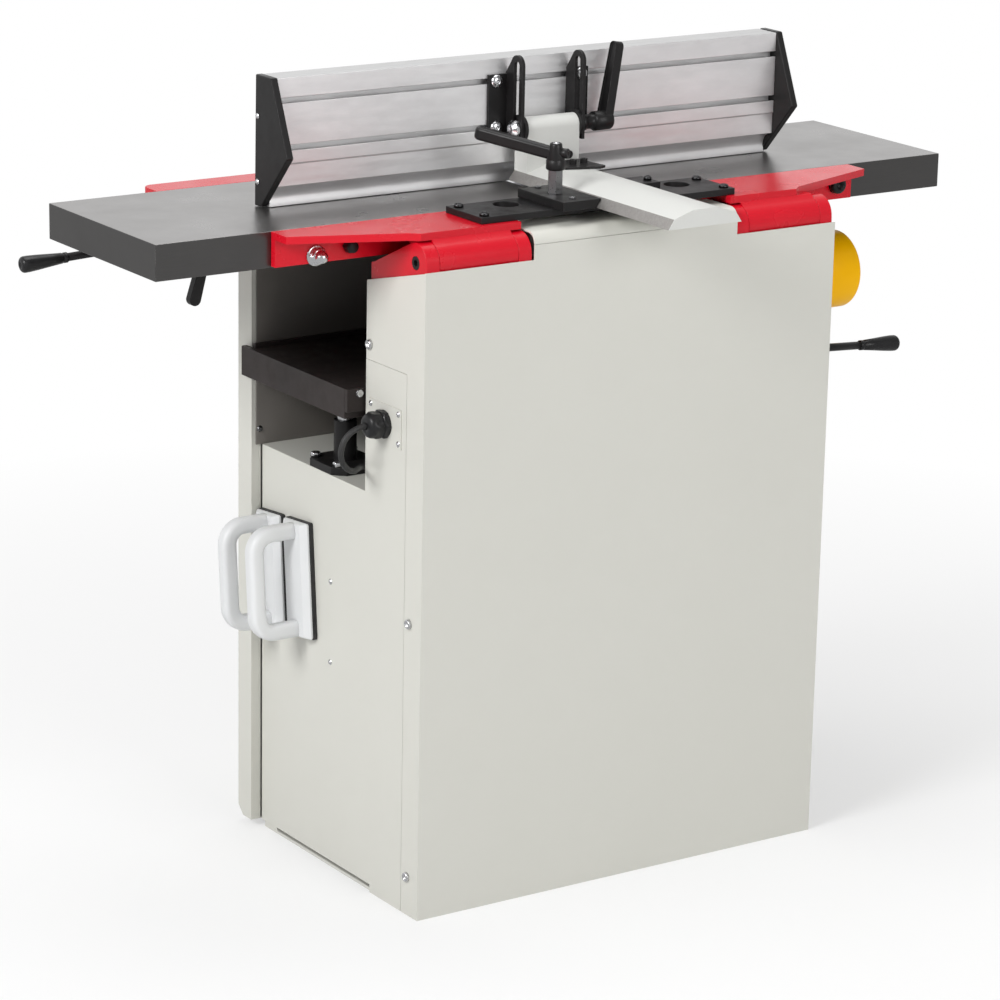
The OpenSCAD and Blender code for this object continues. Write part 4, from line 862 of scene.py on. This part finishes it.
def make_clamp_lever():
    pivot = PIVOT["fence_clamp"]
    base = Vector((pivot.x, pivot.y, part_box("fence_clamp_lever")[0].z))
    along, level = heading(CLAMP_TURN, CLAMP_RISE), heading(CLAMP_TURN, 0)
    profile = [(0, 0), (0, 10.6), (1, 11.5), (11, 11.5), (12, 10.6), (12.6, 10.8), (27, 7.6)]
    profile += [(30, 7.4), (31.5, 6.4), (31.5, 4.6), (30, 4.4), (30, 0)]
    arm_at = base + mm(0, 0, CLAMP_ARM_Z)
    arm = handle_arm("arm", arm_at, along, Z, length=104, root=12, tip=17, thick=15.5, recess=0, edge=4.0)
    boss = [(0, 0), (0, 6), (11, 6), (12, 5.2), (12, 3, 6), (9, 2.8, 6), (9, 0)]
    boss_at = base + mm(0, 0, CLAMP_BOSS_Z) - level * CLAMP_BOSS_OUT * MM
    screw = [(0, 0), (0, 4.2), (1.2, 4.2), (1.6, 3.6), (1.6, 2.2, 6), (0.6, 2.1, 6), (0.6, 0)]
    dress(
        join(
            "clamp_lever_made",
            coat(lathe("hub", profile, base, Z), BLACK),
            coat(applied(arm), BLACK),
            coat(lathe("boss", boss, boss_at, -level, 36), BLACK),
            coat(lathe("screw", screw, base + mm(0, 0, CLAMP_SCREW_Z), Z, 36), STEEL),
        ),
        None, "clamp_lever", "black_plastic", "fence_clamp_lever",
    )


def make_tilt_lever():
    pivot = PIVOT["fence_tilt"]
    start = Vector((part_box("tilt_lever")[0].x, pivot.y, pivot.z))
    profile = [(0, 0), (0, 11.2), (0.8, 12), (3.4, 12), (4, 11.4), (4.4, 9), (19, 9), (20, 10.6)]
    profile += [(21, 12), (43, 12), (45, 10.8), (46, 8), (46, 4, 6), (43, 3.8, 6), (43, 0)]
    along = upright_heading(TILT_LEAN)
    arm_at = start + mm(TILT_ARM_AT, 0, 0) + along * TILT_ARM_UP * MM
    arm = handle_arm("arm", arm_at, along, X, length=95, root=19, tip=13, thick=13, recess=2.6)
    dress(
        join(
            "tilt_lever_made",
            coat(lathe("hub", profile, start, X), BLACK),
            coat(applied(arm), BLACK),
        ),
        None, "tilt_lever", "black_plastic", "tilt_lever",
    )


make_grip_levers()
make_lock_lever()
make_clamp_lever()
make_tilt_lever()


# Cable gland, dust port and push blocks


def make_gland():
    lo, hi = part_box("cable_gland")
    at = Vector((hi.x, (lo.y + hi.y) / 2, (lo.z + hi.z) / 2))
    profile = [(0, 0), (0, 16.5), (0.8, 18, 6), (6, 18, 6), (6.8, 16), (7, 14.5), (8.8, 14.5), (9, 15.6)]
    profile += [(9.8, 17, 6), (17, 17, 6), (18.5, 15.4)]
    profile += [(18.5 + 7.3 * math.sin(a), 8 + 7.2 * math.cos(a)) for a in (0.3, 0.6, 0.9, 1.2, 1.5)]
    profile += [(25.8, 6.4), (25.2, 4.2), (23, 3.7), (23, 0)]
    dress(lathe("gland_made", profile, at, -X, 48), GRIP, "cabinet", "black_plastic", "cable_gland")


def make_port():
    lo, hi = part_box("dust_port")
    at = Vector((lo.x, (lo.y + hi.y) / 2, (lo.z + hi.z) / 2))
    r, wall = (hi.z - lo.z) / 2 / MM, 3
    length = (hi.x - lo.x) / MM
    profile = [(0, r - wall), (0, r)]
    profile += arc_profile((length - 5, r - 5), 5, 90, 0, 6)
    profile += [(length, r - wall - 1), (length - 1.2, r - wall - 1.6), (length - 6, r - wall), (0, r - wall)]
    dress(lathe("dust_port_made", profile, at, X, 96), YELLOW, "hood", "yellow_plastic", "dust_port")


# Push blocks: sizes in mm, then the place of the near one and the step to the far one
BLOCK_W, BLOCK_L, BLOCK_REACH = 57, 147, 78
BLOCK_SOLE, BLOCK_PLATE, BLOCK_BAR = 6, 9, 20
BLOCK_RIM, BLOCK_SLOPE, BLOCK_CORNER = 3, 9, 3
BAR_BEND, BAR_CORNER, BAR_INSET = 32, 6, 2
BLOCK_LEAN = math.radians(5)
BLOCK_Y, BLOCK_TOP, BLOCK_STEP = 72.5, 432, 66.5


def lofted_plate(name, levels, corner):
    """A plate with round corners through levels of X, width and length, hanging down from its origin."""
    bm = bmesh.new()
    rings = []
    for x, width, length in levels:
        outline = rounded_section(width, length, corner)
        rings.append([bm.verts.new(mm(x, a, b - BLOCK_L / 2)) for a, b in outline])
    n = len(rings[0])
    for one, two in zip(rings, rings[1:]):
        for k in range(n):
            bm.faces.new((one[k], one[(k + 1) % n], two[(k + 1) % n], two[k]))
    bm.faces.new(rings[0])
    bm.faces.new(rings[-1])
    return applied(bevel(new_object(name, bm), 0.9, 3, 25))


def block_handle():
    """The D-shaped handle: a round cornered bar that leaves the plate, runs down and comes back."""
    inset, bend = BAR_INSET + BLOCK_BAR / 2, BAR_BEND - BLOCK_BAR / 2
    out = -BLOCK_REACH + BLOCK_BAR / 2
    top, low = -inset, -BLOCK_L + inset
    line = [(-BLOCK_SOLE - 2, top), (-BLOCK_SOLE - 14, top), (out + bend + 6, top)]
    line += [(out + bend - bend * math.sin(a), top - bend + bend * math.cos(a)) for a in quarter_turn()]
    line += [(out, top - bend - 12), (out, low + bend + 12)]
    line += [(out + bend - bend * math.cos(a), low + bend - bend * math.sin(a)) for a in quarter_turn()]
    line += [(out + bend + 6, low), (-BLOCK_SOLE - 14, low), (-BLOCK_SOLE - 2, low)]
    section = rounded_section(BLOCK_BAR, BLOCK_BAR, BAR_CORNER)
    return sweep("handle", [mm(x, 0, z) for x, z in line], section, Y)


def quarter_turn(steps=9):
    return [math.pi / 2 * i / steps for i in range(steps + 1)]


def make_push_block(name, body, node, shift):
    flat = [(x, BLOCK_W, BLOCK_L) for x in (-BLOCK_SOLE, 0)]
    sole = coat(lofted_plate("sole", flat, BLOCK_CORNER), RUBBER)
    rim = [(-BLOCK_SOLE - h, BLOCK_W - 1, BLOCK_L - 2) for h in (BLOCK_RIM, 0)]
    crown = (-BLOCK_SOLE - BLOCK_PLATE, BLOCK_W - 1 - 2 * BLOCK_SLOPE, BLOCK_L - 6)
    plate = coat(lofted_plate("plate", [crown] + rim, BLOCK_CORNER), WHITE)
    handle = coat(block_handle(), WHITE)
    block = join(name, sole, plate, handle)
    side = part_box("left_side_panel")[0].x + GLAND_PLATE_T * MM
    lean = Matrix.Translation((side, BLOCK_Y * MM, BLOCK_TOP * MM)) @ Matrix.Rotation(-BLOCK_LEAN, 4, "X")
    block.matrix_world = lean @ Matrix.Translation(mm(0, shift, 0))
    dress(block, None, body, "white_plastic", node)


make_gland()
make_port()
make_push_block("near_block_made", "near_block", "near_push_block", 0)
make_push_block("far_block_made", "far_block", "far_push_block", BLOCK_STEP)


# Stage: pale floor, white surroundings and soft studio lamps
FLOOR_HALF = 30
FLOOR_WHITE = 0.86
# The floor's own white takes over from its shaded colour between these distances in metres
FLOOR_FADE = (0.5, 1.9, 0.5, 1.0)
FLOOR_MIRRORED = 0.6
# The surroundings in reflections brighten behind the machine, from and to these strengths
WORLD_FADE = (-0.3, 0.6, 0.45, 1.0)
WORLD_FILL = 0.32
# Lamps: place, point aimed at, width in metres, and watts
LAMPS = {
    "key": ((-4.0, -1.0, 3.2), (0, 0, 0.5), 2.0, 166),
    "front": ((0.5, -4.6, 2.2), (0, 0, 0.5), 2.4, 82),
    "top": ((0.3, 0.4, 3.8), (0, 0, 0.8), 2.2, 44),
}


def make_floor():
    bm = bmesh.new()
    corners = ((-1, -1), (1, -1), (1, 1), (-1, 1))
    bm.faces.new([bm.verts.new((a * FLOOR_HALF, b * FLOOR_HALF, 0)) for a, b in corners])
    floor = new_object("floor", bm)
    material = bpy.data.materials.new("floor_white")
    material.use_nodes = True
    tree = material.node_tree
    bsdf = tree.nodes["Principled BSDF"]
    bsdf.inputs["Base Color"].default_value = (FLOOR_WHITE, FLOOR_WHITE, FLOOR_WHITE, 1)
    bsdf.inputs["Roughness"].default_value = 0.9
    bsdf.inputs["Specular IOR Level"].default_value = 0.0
    glow = tree.nodes.new("ShaderNodeEmission")
    path = tree.nodes.new("ShaderNodeLightPath")
    place = tree.nodes.new("ShaderNodeNewGeometry")
    far = tree.nodes.new("ShaderNodeVectorMath")
    far.operation = "LENGTH"
    tree.links.new(place.outputs["Position"], far.inputs[0])
    share = tree.nodes.new("ShaderNodeMath")
    share.operation = "MULTIPLY"
    tree.links.new(map_range(tree, far.outputs["Value"], *FLOOR_FADE), share.inputs[1])
    tree.links.new(path.outputs["Is Camera Ray"], share.inputs[0])
    mix = tree.nodes.new("ShaderNodeMixShader")
    tree.links.new(share.outputs["Value"], mix.inputs["Fac"])
    tree.links.new(bsdf.outputs["BSDF"], mix.inputs[1])
    tree.links.new(glow.outputs["Emission"], mix.inputs[2])
    dim = tree.nodes.new("ShaderNodeEmission")
    dim.inputs["Strength"].default_value = FLOOR_MIRRORED
    mirrored = tree.nodes.new("ShaderNodeMixShader")
    tree.links.new(path.outputs["Is Glossy Ray"], mirrored.inputs["Fac"])
    tree.links.new(mix.outputs["Shader"], mirrored.inputs[1])
    tree.links.new(dim.outputs["Emission"], mirrored.inputs[2])
    tree.links.new(mirrored.outputs["Shader"], tree.nodes["Material Output"].inputs["Surface"])
    floor.data.materials.append(material)


def make_world():
    world = bpy.data.worlds.new("studio")
    bpy.context.scene.world = world
    world.use_nodes = True
    tree = world.node_tree
    background = tree.nodes["Background"]
    background.inputs["Color"].default_value = (1, 1, 1, 1)
    path = tree.nodes.new("ShaderNodeLightPath")
    toward = tree.nodes.new("ShaderNodeTexCoord")
    axes = tree.nodes.new("ShaderNodeSeparateXYZ")
    tree.links.new(toward.outputs["Generated"], axes.inputs["Vector"])
    behind = map_range(tree, axes.outputs["Y"], *WORLD_FADE)
    mirrored = tree.nodes.new("ShaderNodeMix")
    mirrored.inputs["A"].default_value = WORLD_FILL
    tree.links.new(path.outputs["Is Glossy Ray"], mirrored.inputs["Factor"])
    tree.links.new(behind, mirrored.inputs["B"])
    strength = tree.nodes.new("ShaderNodeMath")
    strength.operation = "MAXIMUM"
    tree.links.new(mirrored.outputs["Result"], strength.inputs[0])
    tree.links.new(path.outputs["Is Camera Ray"], strength.inputs[1])
    tree.links.new(strength.outputs["Value"], background.inputs["Strength"])


def make_lamp(name, at, aim, size, power):
    data = bpy.data.lights.new(name, "AREA")
    data.shape = "DISK"
    data.size = size
    data.energy = power
    lamp = bpy.data.objects.new(name, data)
    bpy.context.scene.collection.objects.link(lamp)
    at = Vector(at)
    turn = (Vector(aim) - at).to_track_quat("-Z", "Y").to_matrix().to_4x4()
    lamp.matrix_world = Matrix.Translation(at) @ turn


make_floor()
make_world()
for lamp_name, lamp in LAMPS.items():
    make_lamp(lamp_name, *lamp)
bpy.context.scene.view_settings.view_transform = "Standard"
